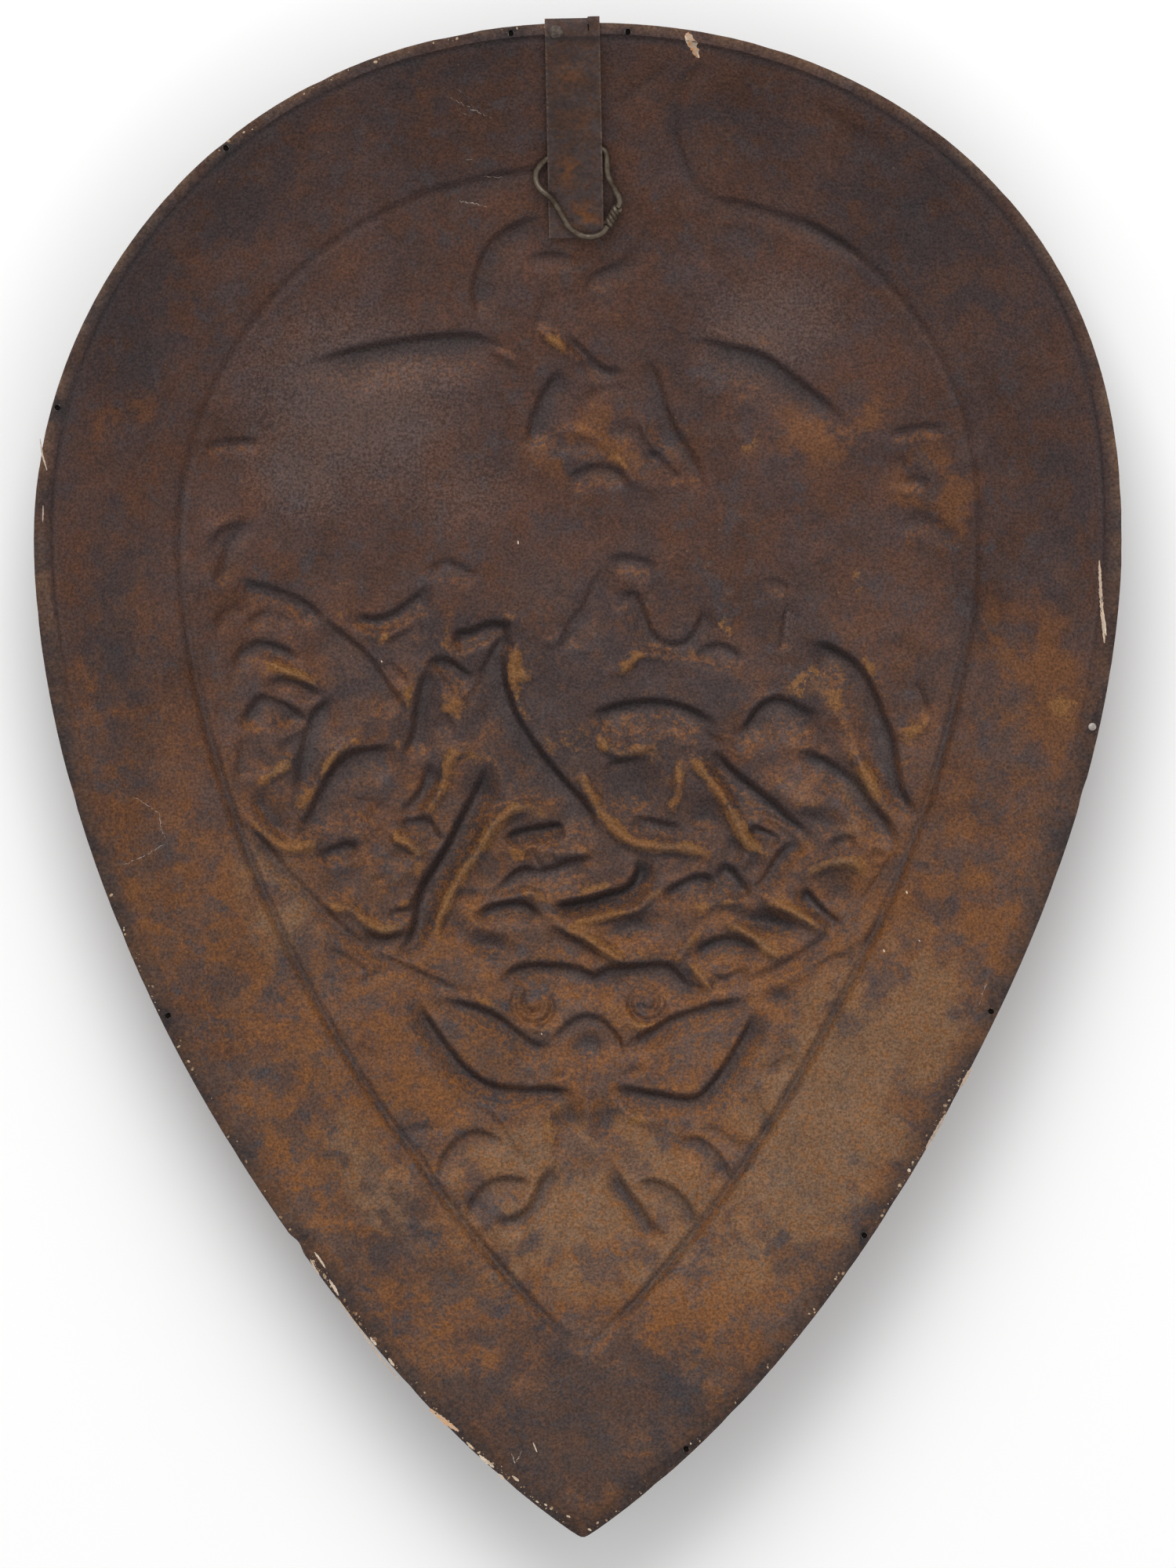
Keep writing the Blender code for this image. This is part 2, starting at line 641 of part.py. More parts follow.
def level_off(mesh, levels):
    """Bring the corners that stand close to a level exactly onto it, and none past the tip."""
    tip = WIDEST_Y - POINT_DROP
    for vertex in mesh.vertices:
        vertex.co.y = max(vertex.co.y, tip)
        for level in levels:
            if abs(vertex.co.z - level) < LEVEL_REACH:
                vertex.co.z = level


def hole_cutter(cutters):
    """Straight pins through the rim, one for each hole and one for the nail."""
    shape = bmesh.new()
    for share, inset in (*HOLES, NAIL_PLACE):
        x, y = rim_point(share, inset)
        made = bmesh.ops.create_cone(
            shape,
            cap_ends=True,
            segments=HOLE_SIDES,
            radius1=HOLE_DIAMETER / 2,
            radius2=HOLE_DIAMETER / 2,
            depth=WALL * 4,
        )
        bmesh.ops.translate(shape, verts=made["verts"], vec=(x, y, RIM_TOP - WALL / 2))
    mesh = bpy.data.meshes.new("rim_hole_cutter")
    shape.to_mesh(mesh)
    shape.free()
    cutter = bpy.data.objects.new("rim_hole_cutter", mesh)
    cutters.objects.link(cutter)
    cutter.hide_render = True
    cutter.display_type = "WIRE"
    return cutter


def turned(name, profile, steps):
    """A mesh object whose profile of radius and height is turned round Z."""
    mesh = bpy.data.meshes.new(name)
    points = [(radius, 0.0, height) for radius, height in profile]
    mesh.from_pydata(points, [(i, i + 1) for i in range(len(points) - 1)], [])
    obj = bpy.data.objects.new(name, mesh)
    screw = obj.modifiers.new("turn", "SCREW")
    screw.axis = "Z"
    screw.steps = steps
    screw.render_steps = steps
    screw.use_merge_vertices = True
    screw.merge_threshold = 0.00001
    return obj


def build_nail(collection, material):
    """The one nail left in the rim: a low head on a short shank."""
    head = NAIL_HEAD_DIAMETER / 2
    shank = NAIL_DIAMETER / 2
    tail = -(GAP + WALL + NAIL_TAIL)
    profile = (
        (0.0, NAIL_HEAD_HEIGHT),
        (NAIL_HEAD_FLAT / 2, NAIL_HEAD_HEIGHT),
        (head, NAIL_HEAD_EDGE),
        (head, 0.0),
        (shank, 0.0),
        (shank, tail),
        (0.0, tail),
    )
    nail = turned("rim_nail", profile, HOLE_SIDES)
    x, y = rim_point(*NAIL_PLACE)
    nail.location = (x, y, RIM_TOP + GAP)
    return place(nail, collection, material)


# Hanger strap


def rounded(path, radius, steps=4):
    """A path with its corners rounded by arcs."""
    result = [path[0]]
    for before, corner, after in zip(path, path[1:], path[2:]):
        corner = np.array(corner)
        back = np.array(before) - corner
        ahead = np.array(after) - corner
        back /= np.hypot(*back)
        ahead /= np.hypot(*ahead)
        half = math.acos(float(np.clip(back @ ahead, -1, 1))) / 2
        cut = radius / math.tan(half)
        middle = back + ahead
        centre = corner + middle / np.hypot(*middle) * radius / math.sin(half)
        first = corner + back * cut - centre
        last = corner + ahead * cut - centre
        for step in range(steps + 1):
            share = step / steps
            spoke = first * (1 - share) + last * share
            result.append(tuple(centre + spoke / np.hypot(*spoke) * radius))
    result.append(path[-1])
    return result


def dish_height(x, y):
    """Height of the plain dish, without its carving, at one place."""
    inside = rim_inside(outline(RAYS))
    return RIM_TOP - float(dish(np.array([[x, y]]), inside)[0])


def strap_profile():
    """The strap's middle line seen from the side, as Y and Z, from the lip to the foot."""
    edge = WIDEST_Y + CROWN_RISE
    half = STRAP_THICKNESS / 2
    outer = edge + GAP + half
    top = RIM_TOP + GAP + half
    end = outer + half - STRAP_LENGTH
    knee = end + STRAP_FOOT
    slope = (dish_height(STRAP_CENTRE, knee) - dish_height(STRAP_CENTRE, end)) / STRAP_FOOT
    lift = STRAP_FOOT_GAP + half * math.hypot(1.0, slope)
    path = (
        (outer, RIM_TOP - WALL),
        (outer, top),
        (edge - CROWN_RIM - BEND_RADIUS, top),
        (knee, dish_height(STRAP_CENTRE, knee) + lift),
        (end, dish_height(STRAP_CENTRE, end) + lift),
    )
    return rounded(path, BEND_RADIUS)


def build_strap(collection, material):
    """A flat strap hooked over the crown, with a slit that frees a tab at its right."""
    line = np.array(strap_profile())
    steps = np.hypot(*np.diff(line, axis=0).T)
    run = np.concatenate([[0.0], np.cumsum(steps)])
    corner = int(np.argmax(line[:, 1] >= line[:, 1].max() - 1e-9))
    slit_run = run[corner] + SLIT_LENGTH
    wanted = np.sort(np.append(run, slit_run))
    line = np.stack([np.interp(wanted, run, line[:, axis]) for axis in (0, 1)], 1)
    slit_row = int(np.searchsorted(wanted, slit_run))

    half = STRAP_WIDTH / 2
    slit = half - TAB_WIDTH
    columns = (-half, -half / 3, slit - SLIT_WIDTH / 2, slit + SLIT_WIDTH / 2, half)
    pivot = (WIDEST_Y + CROWN_RISE, RIM_TOP)
    shape = bmesh.new()
    grid = []
    for row, (y, z) in enumerate(line):
        lift = TAB_LIFT * (1.0 - min(row / slit_row, 1.0)) if row < slit_row else 0.0
        verts = []
        for column, x in enumerate(columns):
            raised = lift if column > 2 else 0.0
            verts.append(shape.verts.new((x, y - pivot[0] + raised, z - pivot[1] + raised)))
        grid.append(verts)
    for row in range(len(grid) - 1):
        for column in range(len(columns) - 1):
            if column == 2 and row < slit_row:
                continue
            a, b = grid[row][column : column + 2]
            d, c = grid[row + 1][column : column + 2]
            shape.faces.new((a, b, c, d))
    bmesh.ops.recalc_face_normals(shape, faces=shape.faces)
    mesh = bpy.data.meshes.new("hanger_strap")
    shape.to_mesh(mesh)
    shape.free()
    strap = place(bpy.data.objects.new("hanger_strap", mesh), collection, material)
    strap.location = (STRAP_CENTRE, pivot[0], pivot[1])
    strap.rotation_euler.z = STRAP_TURN
    thick = strap.modifiers.new("thickness", "SOLIDIFY")
    thick.thickness = STRAP_THICKNESS
    thick.offset = 0.0
    return strap


def build_solder(collection, material):
    """The lump of solder that holds the left corner of the strap."""
    shape = bmesh.new()
    bmesh.ops.create_uvsphere(shape, u_segments=12, v_segments=7, radius=1.0)
    for vert in shape.verts:
        vert.co.z = max(vert.co.z, 0.0)
        bulge = 1.0 + SOLDER_BULGE * math.sin(3.0 * vert.co.x + 4.0 * vert.co.y)
        vert.co.x *= SOLDER_SIZE[0] * bulge
        vert.co.y *= SOLDER_SIZE[1] * bulge
        vert.co.z *= SOLDER_SIZE[2] * bulge
    bmesh.ops.remove_doubles(shape, verts=shape.verts, dist=0.00001)
    bmesh.ops.recalc_face_normals(shape, faces=shape.faces)
    mesh = bpy.data.meshes.new("solder_lump")
    shape.to_mesh(mesh)
    shape.free()
    lump = place(bpy.data.objects.new("solder_lump", mesh), collection, material)
    x = STRAP_CENTRE - STRAP_WIDTH / 2 + SOLDER_INSET[0]
    y = WIDEST_Y + CROWN_RISE - SOLDER_INSET[1]
    lump.location = (x, y, RIM_TOP + GAP + STRAP_THICKNESS + GAP)
    return lump


# Wire


def crown_place():
    """The crown of the rim, on its back face."""
    return np.array([0.0, WIDEST_Y + CROWN_RISE, RIM_TOP])


def smooth_route(points, step):
    """A smooth line through some points, read off at even steps."""
    control = np.array(points, float)
    ring = np.concatenate([[2 * control[0] - control[1]], control, [2 * control[-1] - control[-2]]])
    line = [control[0]]
    for span in range(len(control) - 1):
        p0, p1, p2, p3 = ring[span : span + 4]
        for share in np.linspace(0.1, 1.0, 10):
            pull = (p2 - p0) * share
            bend = (2 * p0 - 5 * p1 + 4 * p2 - p3) * share**2
            turn = (3 * p1 - p0 - 3 * p2 + p3) * share**3
            line.append(p1 + 0.5 * (pull + bend + turn))
    line = np.array(line)
    run = np.concatenate([[0.0], np.cumsum(np.linalg.norm(np.diff(line, axis=0), axis=1))])
    wanted = np.linspace(0.0, run[-1], max(2, round(run[-1] / step)) + 1)
    return np.stack([np.interp(wanted, run, line[:, axis]) for axis in range(3)], 1)


def tube(name, points, diameter, collection, material):
    """A round wire along a line of points."""
    curve = bpy.data.curves.new(name, "CURVE")
    curve.dimensions = "3D"
    curve.bevel_depth = diameter / 2
    curve.bevel_resolution = 2
    curve.use_fill_caps = True
    spline = curve.splines.new("POLY")
    spline.points.add(len(points) - 1)
    for spot, point in zip(spline.points, points):
        spot.co = (*point, 1.0)
    return place(bpy.data.objects.new(name, curve), collection, material)


def build_wire(collection, material):
    """The loop of wire that hangs from the strap."""
    line = smooth_route(WIRE_ROUTE, WIRE_DIAMETER * 1.6) + crown_place()
    return tube("hanging_wire", line, WIRE_DIAMETER, collection, material)


def build_twist(collection, material):
    """The knot where the two ends of the wire are twisted together."""
    start = np.array(WIRE_ROUTE[-1])
    end = np.array(WIRE_ROUTE[0])
    step = (end - start) / np.linalg.norm(end - start) * TWIST_GAP
    line = smooth_route((start + step, end - step), WIRE_DIAMETER) + crown_place()
    return tube("wire_twist", line, TWIST_DIAMETER, collection, material)


def main():
    clear_scene()
    pieces = new_collection("bronze_shield")
    cutters = new_collection("cutters")
    build_plate(pieces, new_material("aged_bronze", (0.072, 0.044, 0.032), 0.55, 0.62), cutters)
    build_strap(pieces, new_material("strap_iron", (0.060, 0.043, 0.034), 0.60, 0.65))
    build_solder(pieces, new_material("old_solder", (0.090, 0.072, 0.058), 0.50, 0.70))
    build_nail(pieces, new_material("pale_nail", (0.520, 0.470, 0.430), 0.70, 0.50))
    build_wire(pieces, new_material("grey_wire", (0.190, 0.165, 0.125), 0.80, 0.50))
    build_twist(pieces, new_material("twisted_wire", (0.160, 0.135, 0.105), 0.80, 0.55))


main()
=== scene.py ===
"""Dressed model of an embossed bronze parade shield that lies on its front, hollow back up.

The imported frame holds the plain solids. This script puts the finished pieces in their place:
the embossed plate with its patina, the iron strap with its solder, the nail, the wire loop with
its twisted ends, and the paint and rust that cling to the rim. Metres, +Z up, crown at +Y.
"""

import logging
import math
from dataclasses import dataclass
from enum import Enum
from functools import cached_property
from typing import ClassVar

import bmesh
import bpy
import numpy as np
from bpy.types import ID, Material, Node, NodeSocket, NodeTree, Object
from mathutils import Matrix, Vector
from mathutils.bvhtree import BVHTree
from mathutils.kdtree import KDTree


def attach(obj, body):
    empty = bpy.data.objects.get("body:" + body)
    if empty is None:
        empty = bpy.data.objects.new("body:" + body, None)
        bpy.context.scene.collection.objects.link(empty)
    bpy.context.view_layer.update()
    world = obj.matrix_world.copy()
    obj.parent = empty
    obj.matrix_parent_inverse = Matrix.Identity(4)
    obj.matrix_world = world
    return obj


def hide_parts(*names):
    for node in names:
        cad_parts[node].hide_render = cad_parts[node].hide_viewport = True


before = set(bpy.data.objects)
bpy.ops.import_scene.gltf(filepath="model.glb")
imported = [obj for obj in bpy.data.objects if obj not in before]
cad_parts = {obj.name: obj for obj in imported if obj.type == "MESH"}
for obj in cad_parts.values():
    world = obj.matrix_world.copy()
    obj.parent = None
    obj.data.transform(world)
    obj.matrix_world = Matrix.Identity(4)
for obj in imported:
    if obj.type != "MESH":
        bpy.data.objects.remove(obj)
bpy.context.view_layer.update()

Array = np.ndarray
Number = NodeSocket | float

LOG = logging.getLogger("bronze_shield")
BODY = "root"

# One part of the carving, and the places that the frame shares with every piece
HEIGHT = 0.6401
PART = HEIGHT / 640
GAP = 0.0003
CROWN_RISE = 0.2190
POINT_DROP = 0.4211
RIM_TOP = 0.0500
WIDEST_Y = 0.099633
CROWN = np.array([0.0, WIDEST_Y + CROWN_RISE, RIM_TOP])

# How many points of the outline are taken for coarse, usual and fine work
COARSE_EDGE, EDGE, FINE_EDGE = 460, 1840, 4000

# Lattice of the noise, the shift between its layers and its strength
LATTICE = 64
LAYER_SHIFT = 17.3
NOISE_GAIN = 1.6


def smooth(share: Array | float) -> Array | float:
    """Ease a share from 0 to 1."""
    share = np.clip(share, 0.0, 1.0)
    return share * share * (3.0 - 2.0 * share)


def eased(value: Array, low: float, span: float) -> Array:
    """Ease a value from 0 at its low end to 1 a span above it."""
    return smooth((value - low) / span)


def below(parts: Array, start: float, over: float) -> Array:
    """Ease from 0 at a height down to 1, over a stretch below it."""
    return smooth((start - parts[:, 1]) / over)


def plain_mesh(name: str, points: Array, faces: list) -> Object:
    """Make a linked mesh object from points and faces.

    Args:
        name: The piece's name.
        points: Corners, in metres.
        faces: Tuples of corner numbers.

    Returns:
        The new object, at the origin.
    """
    mesh = bpy.data.meshes.new(name)
    mesh.from_pydata(np.asarray(points, float).tolist(), [], faces)
    mesh.update()
    return placed(name, mesh)


def ring_faces(count: int, rings: int, first: int = 0) -> Array:
    """Quads between rings of points that share their rays, each ring after the one before.

    Args:
        count: How many rays there are.
        rings: How many rings there are.
        first: Number of the first ring's first point.

    Returns:
        Rows of four corner numbers.
    """
    ring, ray = np.divmod(np.arange(count * (rings - 1)), count)
    a, b = first + ring * count + ray, first + ring * count + (ray + 1) % count
    return np.stack([a, b, b + count, a + count], 1)


def fan(count: int, first: int, tip: int) -> Array:
    """Triangles between a ring of points and a tip."""
    ray = np.arange(count)
    return np.stack([first + ray, first + (ray + 1) % count, np.full(count, tip)], 1)


def settled(obj: Object) -> Object:
    """Replace an object's mesh by what its modifiers make of it, and drop them.

    Args:
        obj: The object.

    Returns:
        The same object.
    """
    depsgraph = bpy.context.evaluated_depsgraph_get()
    mesh = bpy.data.meshes.new_from_object(obj.evaluated_get(depsgraph))
    obj.modifiers.clear()
    obj.data = mesh
    return obj


def placed(name: str, data: ID) -> Object:
    """Link a new object with some data to the scene."""
    obj = bpy.data.objects.new(name, data)
    bpy.context.scene.collection.objects.link(obj)
    return obj


def outward(obj: Object, together: float = 0.000001) -> None:
    """Join corners that lie together and turn every face of a closed mesh outwards.

    Args:
        obj: The object that holds the mesh.
        together: How close two corners are to be joined, in metres.
    """
    shape = bmesh.new()
    shape.from_mesh(obj.data)
    bmesh.ops.remove_doubles(shape, verts=shape.verts, dist=together)
    bmesh.ops.recalc_face_normals(shape, faces=shape.faces)
    shape.to_mesh(obj.data)
    shape.free()


def distances(line: Array) -> Array:
    """How far along a line each of its points lies."""
    return np.concatenate([[0.0], np.cumsum(np.linalg.norm(np.diff(line, axis=0), axis=1))])


def read_off(line: Array, wanted: Array) -> Array:
    """Points of a line at some distances along it."""
    return np.stack([np.interp(wanted, distances(line), column) for column in line.T], 1)


def smooth_line(control: Array, steps: int) -> Array:
    """A smooth line through some points, with a number of steps between each two.

    Args:
        control: The points, as rows.
        steps: How many steps lie between each two.

    Returns:
        The line's points, as rows.
    """
    ring = np.concatenate([[2 * control[0] - control[1]], control, [2 * control[-1] - control[-2]]])
    share = np.linspace(0.0, 1.0, steps + 1)[1:, None]
    line = [control[:1]]
    for p0, p1, p2, p3 in zip(ring, ring[1:], ring[2:], ring[3:]):
        bend = (2 * p0 - 5 * p1 + 4 * p2 - p3) * share**2
        turn = (3 * p1 - p0 - 3 * p2 + p3) * share**3
        line.append(p1 + 0.5 * ((p2 - p0) * share + bend + turn))
    return np.concatenate(line)


def corners(obj: Object) -> Array:
    """Corners of a mesh object as rows of X, Y, Z."""
    points = np.empty(len(obj.data.vertices) * 3)
    obj.data.vertices.foreach_get("co", points)
    return points.reshape(-1, 3)


def set_corners(obj: Object, points: Array) -> None:
    """Write rows of X, Y, Z back to a mesh object."""
    obj.data.vertices.foreach_set("co", points.ravel())
    obj.data.update()


def paint(obj: Object, name: str, values: Array) -> None:
    """Store one number for each corner, for a material to read."""
    layer = obj.data.attributes.new(name, "FLOAT", "POINT")
    layer.data.foreach_set("value", np.asarray(values, np.float32))


def dress(obj: Object, material: Material, slot: str, *nodes: str, sharp: float = 50.0) -> None:
    """Give a piece its material and body, and hide the solids of the frame that it stands for.

    Args:
        obj: The finished piece.
        material: Its material.
        slot: The record's slot of that finish. Not used.
        nodes: Solids of the frame that the piece replaces.
        sharp: Past how many degrees the edges of a mesh are left sharp.
    """
    obj.data.materials.clear()
    obj.data.materials.append(material)
    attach(obj, BODY)
    if nodes:
        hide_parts(*nodes)
    if obj.type == "MESH":
        obj.data.shade_smooth()
        obj.data.set_sharp_from_angle(angle=math.radians(sharp))
        obj.data.calc_loop_triangles()
        LOG.info("%s: %d triangles", obj.name, len(obj.data.loop_triangles))
    else:
        LOG.info("%s: curve", obj.name)


def rough_noise(points: Array, size: float, seed: int, octaves: int = 2) -> Array:
    """Smooth irregular noise over a plane.

    Args:
        points: Rows of X and Y.
        size: The usual distance between two lumps.
        seed: Fixed seed of the lattice.
        octaves: How many finer layers are laid over each other.

    Returns:
        One value for each point, mostly between -1 and 1.
    """
    random = np.random.default_rng(seed)
    angles = random.uniform(0.0, 2.0 * math.pi, (LATTICE, LATTICE))
    total = np.zeros(len(points))
    for octave in range(octaves):
        grid = points * (2**octave / size) + LAYER_SHIFT * octave
        cell = np.floor(grid).astype(int)
        local = grid - cell
        ease = local**3 * (local * (local * 6.0 - 15.0) + 10.0)
        values = []
        for across, up in ((0, 0), (1, 0), (0, 1), (1, 1)):
            angle = angles[(cell[:, 0] + across) % LATTICE, (cell[:, 1] + up) % LATTICE]
            values.append(np.cos(angle) * (local[:, 0] - across) + np.sin(angle) * (local[:, 1] - up))
        lower = values[0] + (values[1] - values[0]) * ease[:, 0]
        upper = values[2] + (values[3] - values[2]) * ease[:, 0]
        total += (lower + (upper - lower) * ease[:, 1]) * NOISE_GAIN / 2**octave
    return total


@dataclass(frozen=True)
class Outline:
    """The drop-shaped outline of the plate and its flat rim."""

    half_width: float = 0.2299
    crown_roundness: float = 2.11
    point_rounding: float = 0.0010
    crown_lean: float = 0.0038
    crown_lean_reach: float = 0.68
    point_lean: float = 0.0022
    point_lean_start: float = 0.47
    point_lean_reach: float = 0.36
    side_share: float = 0.9035
    side_power: float = 1.84
    tip_power: float = 10.5
    dent_depth: float = 0.0012
    dent_length: float = 0.0060
    dent_place: float = 0.601
    crown_rim: float = 0.0046
    lower_rim: float = 0.0082
    rim_widens_from: float = 0.1489
    rim_widens_over: float = 0.2688
    steepest_ray: float = 0.6
    crown_steps: int = 1600
    side_steps: int = 4800

    def lean(self, rise: Array) -> Array:
        """How far the middle line stands to the right at a height over the widest line."""
        crown = self.crown_lean * smooth(rise / (self.crown_lean_reach * CROWN_RISE))
        point = eased(-rise / POINT_DROP, self.point_lean_start, self.point_lean_reach)
        return crown + self.point_lean * point

    def half_width_at(self, rise: Array) -> Array:
        """Half the width of the plate at a height over the widest line.

        Args:
            rise: Heights, in metres.

        Returns:
            One half width for each height.
        """
        up = np.clip(rise / CROWN_RISE, 0.0, 1.0)
        crown = self.half_width * (1.0 - up**self.crown_roundness) ** (1.0 / self.crown_roundness)
        drop = POINT_DROP + self.point_rounding
        down = np.clip(-rise / drop, 0.0, 1.0)
        blunt = (1.0 - self.side_share) * down**self.tip_power
        side = 1.0 - self.side_share * down**self.side_power - blunt
        over_tip = np.maximum(drop + rise, self.point_rounding)
        tip = np.sqrt(1.0 - (self.point_rounding / over_tip) ** 2)
        return np.where(rise >= 0.0, crown, self.half_width * side * tip)

    def points(self, count: int) -> Array:
        """Points of the outline, evenly spaced clockwise from the crown.

        Args:
            count: How many points go all the way round.

        Returns:
            Rows of X and Y.
        """
        crown = CROWN_RISE * np.cos(np.linspace(0.0, math.pi / 2, self.crown_steps))
        sides = -POINT_DROP * np.linspace(0.0, 1.0, self.side_steps)[1:]
        rise = np.concatenate([crown, sides])
        middle, half = self.lean(rise), self.half_width_at(rise)
        right = np.stack([middle + half, rise + WIDEST_Y], 1)
        left = np.stack([middle - half, rise + WIDEST_Y], 1)[::-1]
        loop = np.concatenate([right, left[1:]])
        length = distances(loop)[-1]
        wanted = np.linspace(0.0, length, count + 1)[:-1]
        points = read_off(loop, wanted)
        distance = np.abs(wanted - self.dent_place * length)
        dent = self.dent_depth * smooth(1.0 - distance / self.dent_length)
        return points + self.inward(points) * dent[:, None]

    @staticmethod
    def inward(points: Array) -> Array:
        """Unit directions square to the outline, pointing into the plate."""
        along = np.roll(points, -1, axis=0) - np.roll(points, 1, axis=0)
        along /= np.hypot(*along.T)[:, None]
        return np.stack([along[:, 1], -along[:, 0]], 1)

    def rim_width(self, points: Array) -> Array:
        """Width of the flat rim beside each point of the outline."""
        lower = below(points, self.rim_widens_from + WIDEST_Y, self.rim_widens_over)
        return self.crown_rim + (self.lower_rim - self.crown_rim) * lower

    def rim_inside(self, points: Array) -> Array:
        """The line where the flat rim turns down into the dish, one point for each ray.

        Args:
            points: Points of the outline.

        Returns:
            One point of the line for each of them.
        """
        reach = np.hypot(*points.T)
        to_centre = -points / reach[:, None]
        slant = np.sum(to_centre * self.inward(points), axis=1)
        width = self.rim_width(points) / np.clip(slant, self.steepest_ray, 1.0)
        return points + to_centre * width[:, None]

    def rim_point(self, share: float, inset: float) -> Array:
        """A point on the rim, by its share of the way round and its distance from the edge."""
        points = self.points(EDGE)
        index = round(share * len(points)) % len(points)
        return points[index] + self.inward(points)[index] * inset


@dataclass(frozen=True)
class Field:
    """Values over the plate on an even grid, in parts of the carving, read off between its points."""

    values: Array
    step: float
    low: ClassVar[tuple] = (-240.0, -432.0)
    high: ClassVar[tuple] = (240.0, 228.0)

    @classmethod
    def places(cls, step: float) -> Array:
        """The grid's points, row by row from the lowest."""
        across = np.arange(cls.low[0], cls.high[0] + step / 2, step)
        up = np.arange(cls.low[1], cls.high[1] + step / 2, step)
        return np.stack(np.meshgrid(across, up), -1)

    def at(self, parts: Array) -> Array:
        """Value at each of some points, given as rows of X and Y in parts.

        Args:
            parts: The points.

        Returns:
            One value for each of them.
        """
        rows, columns = self.values.shape
        across = np.clip((parts[:, 0] - self.low[0]) / self.step, 0.0, columns - 1.001)
        up = np.clip((parts[:, 1] - self.low[1]) / self.step, 0.0, rows - 1.001)
        column, row = across.astype(int), up.astype(int)
        right, above = across - column, up - row
        lower = self.values[row, column] * (1.0 - right) + self.values[row, column + 1] * right
        upper = self.values[row + 1, column] * (1.0 - right) + self.values[row + 1, column + 1] * right
        return lower * (1.0 - above) + upper * above

    def blurred(self, radius: float) -> "Field":
        """The same field, softened over a radius in parts.

        Args:
            radius: The radius.

        Returns:
            A new field.
        """
        rows, columns = self.values.shape
        up, across = np.fft.fftfreq(rows)[:, None], np.fft.rfftfreq(columns)[None, :]
        keep = np.exp(-2.0 * (math.pi * radius / self.step) ** 2 * (up**2 + across**2))
        soft = np.fft.irfft2(np.fft.rfft2(self.values) * keep, (rows, columns))
        return Field(soft, self.step)

    def climb(self) -> "Field":
        """How fast the field grows upwards."""
        return Field(np.gradient(self.values, self.step, axis=0), self.step)


@dataclass(frozen=True)
class Fold:
    """A hollow along a path, with a steep wall on the left of the way and a slow one on its
    right. Its path and sizes are counted in parts of the carving."""

    path: tuple
    edge: float
    spread: float
    depth: float
    taper: float = 0.22
    end: float = 0.55
    steps: ClassVar[int] = 5

    def line(self) -> Array:
        """A smooth line through the path's points."""
        return smooth_line(np.array(self.path, float).reshape(-1, 2), self.steps)

    def depth_at(self, parts: Array) -> Array:
        """Depth of the hollow at some points.

        Args:
            parts: Rows of X and Y, in parts, from the widest line.

        Returns:
            One depth for each point, in parts.
        """
        line = self.line()
        start, step = line[:-1], np.diff(line, axis=0)
        length, run = np.hypot(*step.T), distances(line)
        best_gap = np.full(len(parts), np.inf)
        side, along = np.zeros(len(parts)), np.zeros(len(parts))
        for index in range(len(step)):
            away = parts - start[index]
            share = np.clip(away @ step[index] / length[index] ** 2, 0.0, 1.0)
            gap = np.hypot(*(away - share[:, None] * step[index]).T)
            closer = gap < best_gap
            best_gap[closer] = gap[closer]
            cross = step[index][0] * away[:, 1] - step[index][1] * away[:, 0]
            side[closer] = cross[closer]
            along[closer] = ((run[index] + share * length[index]) / run[-1])[closer]
        taper = smooth(np.minimum(along, 1.0 - along) / self.taper)
        width = np.where(side > 0.0, self.edge, self.spread * (self.end + (1.0 - self.end) * taper))
        return self.depth * taper * smooth(1.0 - best_gap / width)

    def reach(self) -> tuple:
        """Centre and half size of a box that holds the whole hollow."""
        line, margin = self.line(), max(self.edge, self.spread)
        low, high = line.min(axis=0) - margin, line.max(axis=0) + margin
        return (low + high) / 2, (high - low) / 2


def crest(path: tuple, width: float, height: float) -> Fold:
    """A rounded ridge along a path."""
    return Fold(path, edge=width, spread=width, depth=height, taper=0.25, end=0.7)


@dataclass(frozen=True)
class Bowl:
    """A rounded hollow: an oval of two half sizes, turned by some degrees."""

    centre: tuple
    size: tuple
    turn: float
    depth: float

    def depth_at(self, parts: Array) -> Array:
        """Depth of the hollow at some points, in parts.

        Args:
            parts: Rows of X and Y.

        Returns:
            One depth for each point.
        """
        angle = math.radians(self.turn)
        away = parts - np.array(self.centre)
        along = (away[:, 0] * math.cos(angle) + away[:, 1] * math.sin(angle)) / self.size[0]
        across = (away[:, 1] * math.cos(angle) - away[:, 0] * math.sin(angle)) / self.size[1]
        return self.depth * smooth(1.0 - np.hypot(along, across))

    def reach(self) -> tuple:
        """Centre and half size of a box that holds the whole hollow."""
        return np.array(self.centre), np.full(2, max(self.size))


@dataclass(frozen=True)
class Volute:
    """A spiral channel that winds out to a radius."""

    centre: tuple
    radius: float
    turns: float
    depth: float
    hand: int
    channel: float = 0.42

    def depth_at(self, parts: Array) -> Array:
        """Depth of the channel at some points, in parts.

        Args:
            parts: Rows of X and Y.

        Returns:
            One depth for each point.
        """
        away = parts - np.array(self.centre)
        reach = np.hypot(*away.T)
        angle = np.arctan2(away[:, 1], self.hand * away[:, 0]) / (2 * math.pi)
        pitch = self.radius / self.turns
        off = np.abs((reach / pitch - angle + 0.5) % 1.0 - 0.5) * pitch
        fade = smooth((self.radius - reach) / pitch) * smooth(reach / pitch)
        return self.depth * fade * smooth(1.0 - off / (self.channel * pitch))

    def reach(self) -> tuple:
        """Centre and half size of a box that holds the whole channel."""
        return np.array(self.centre), np.full(2, self.radius)


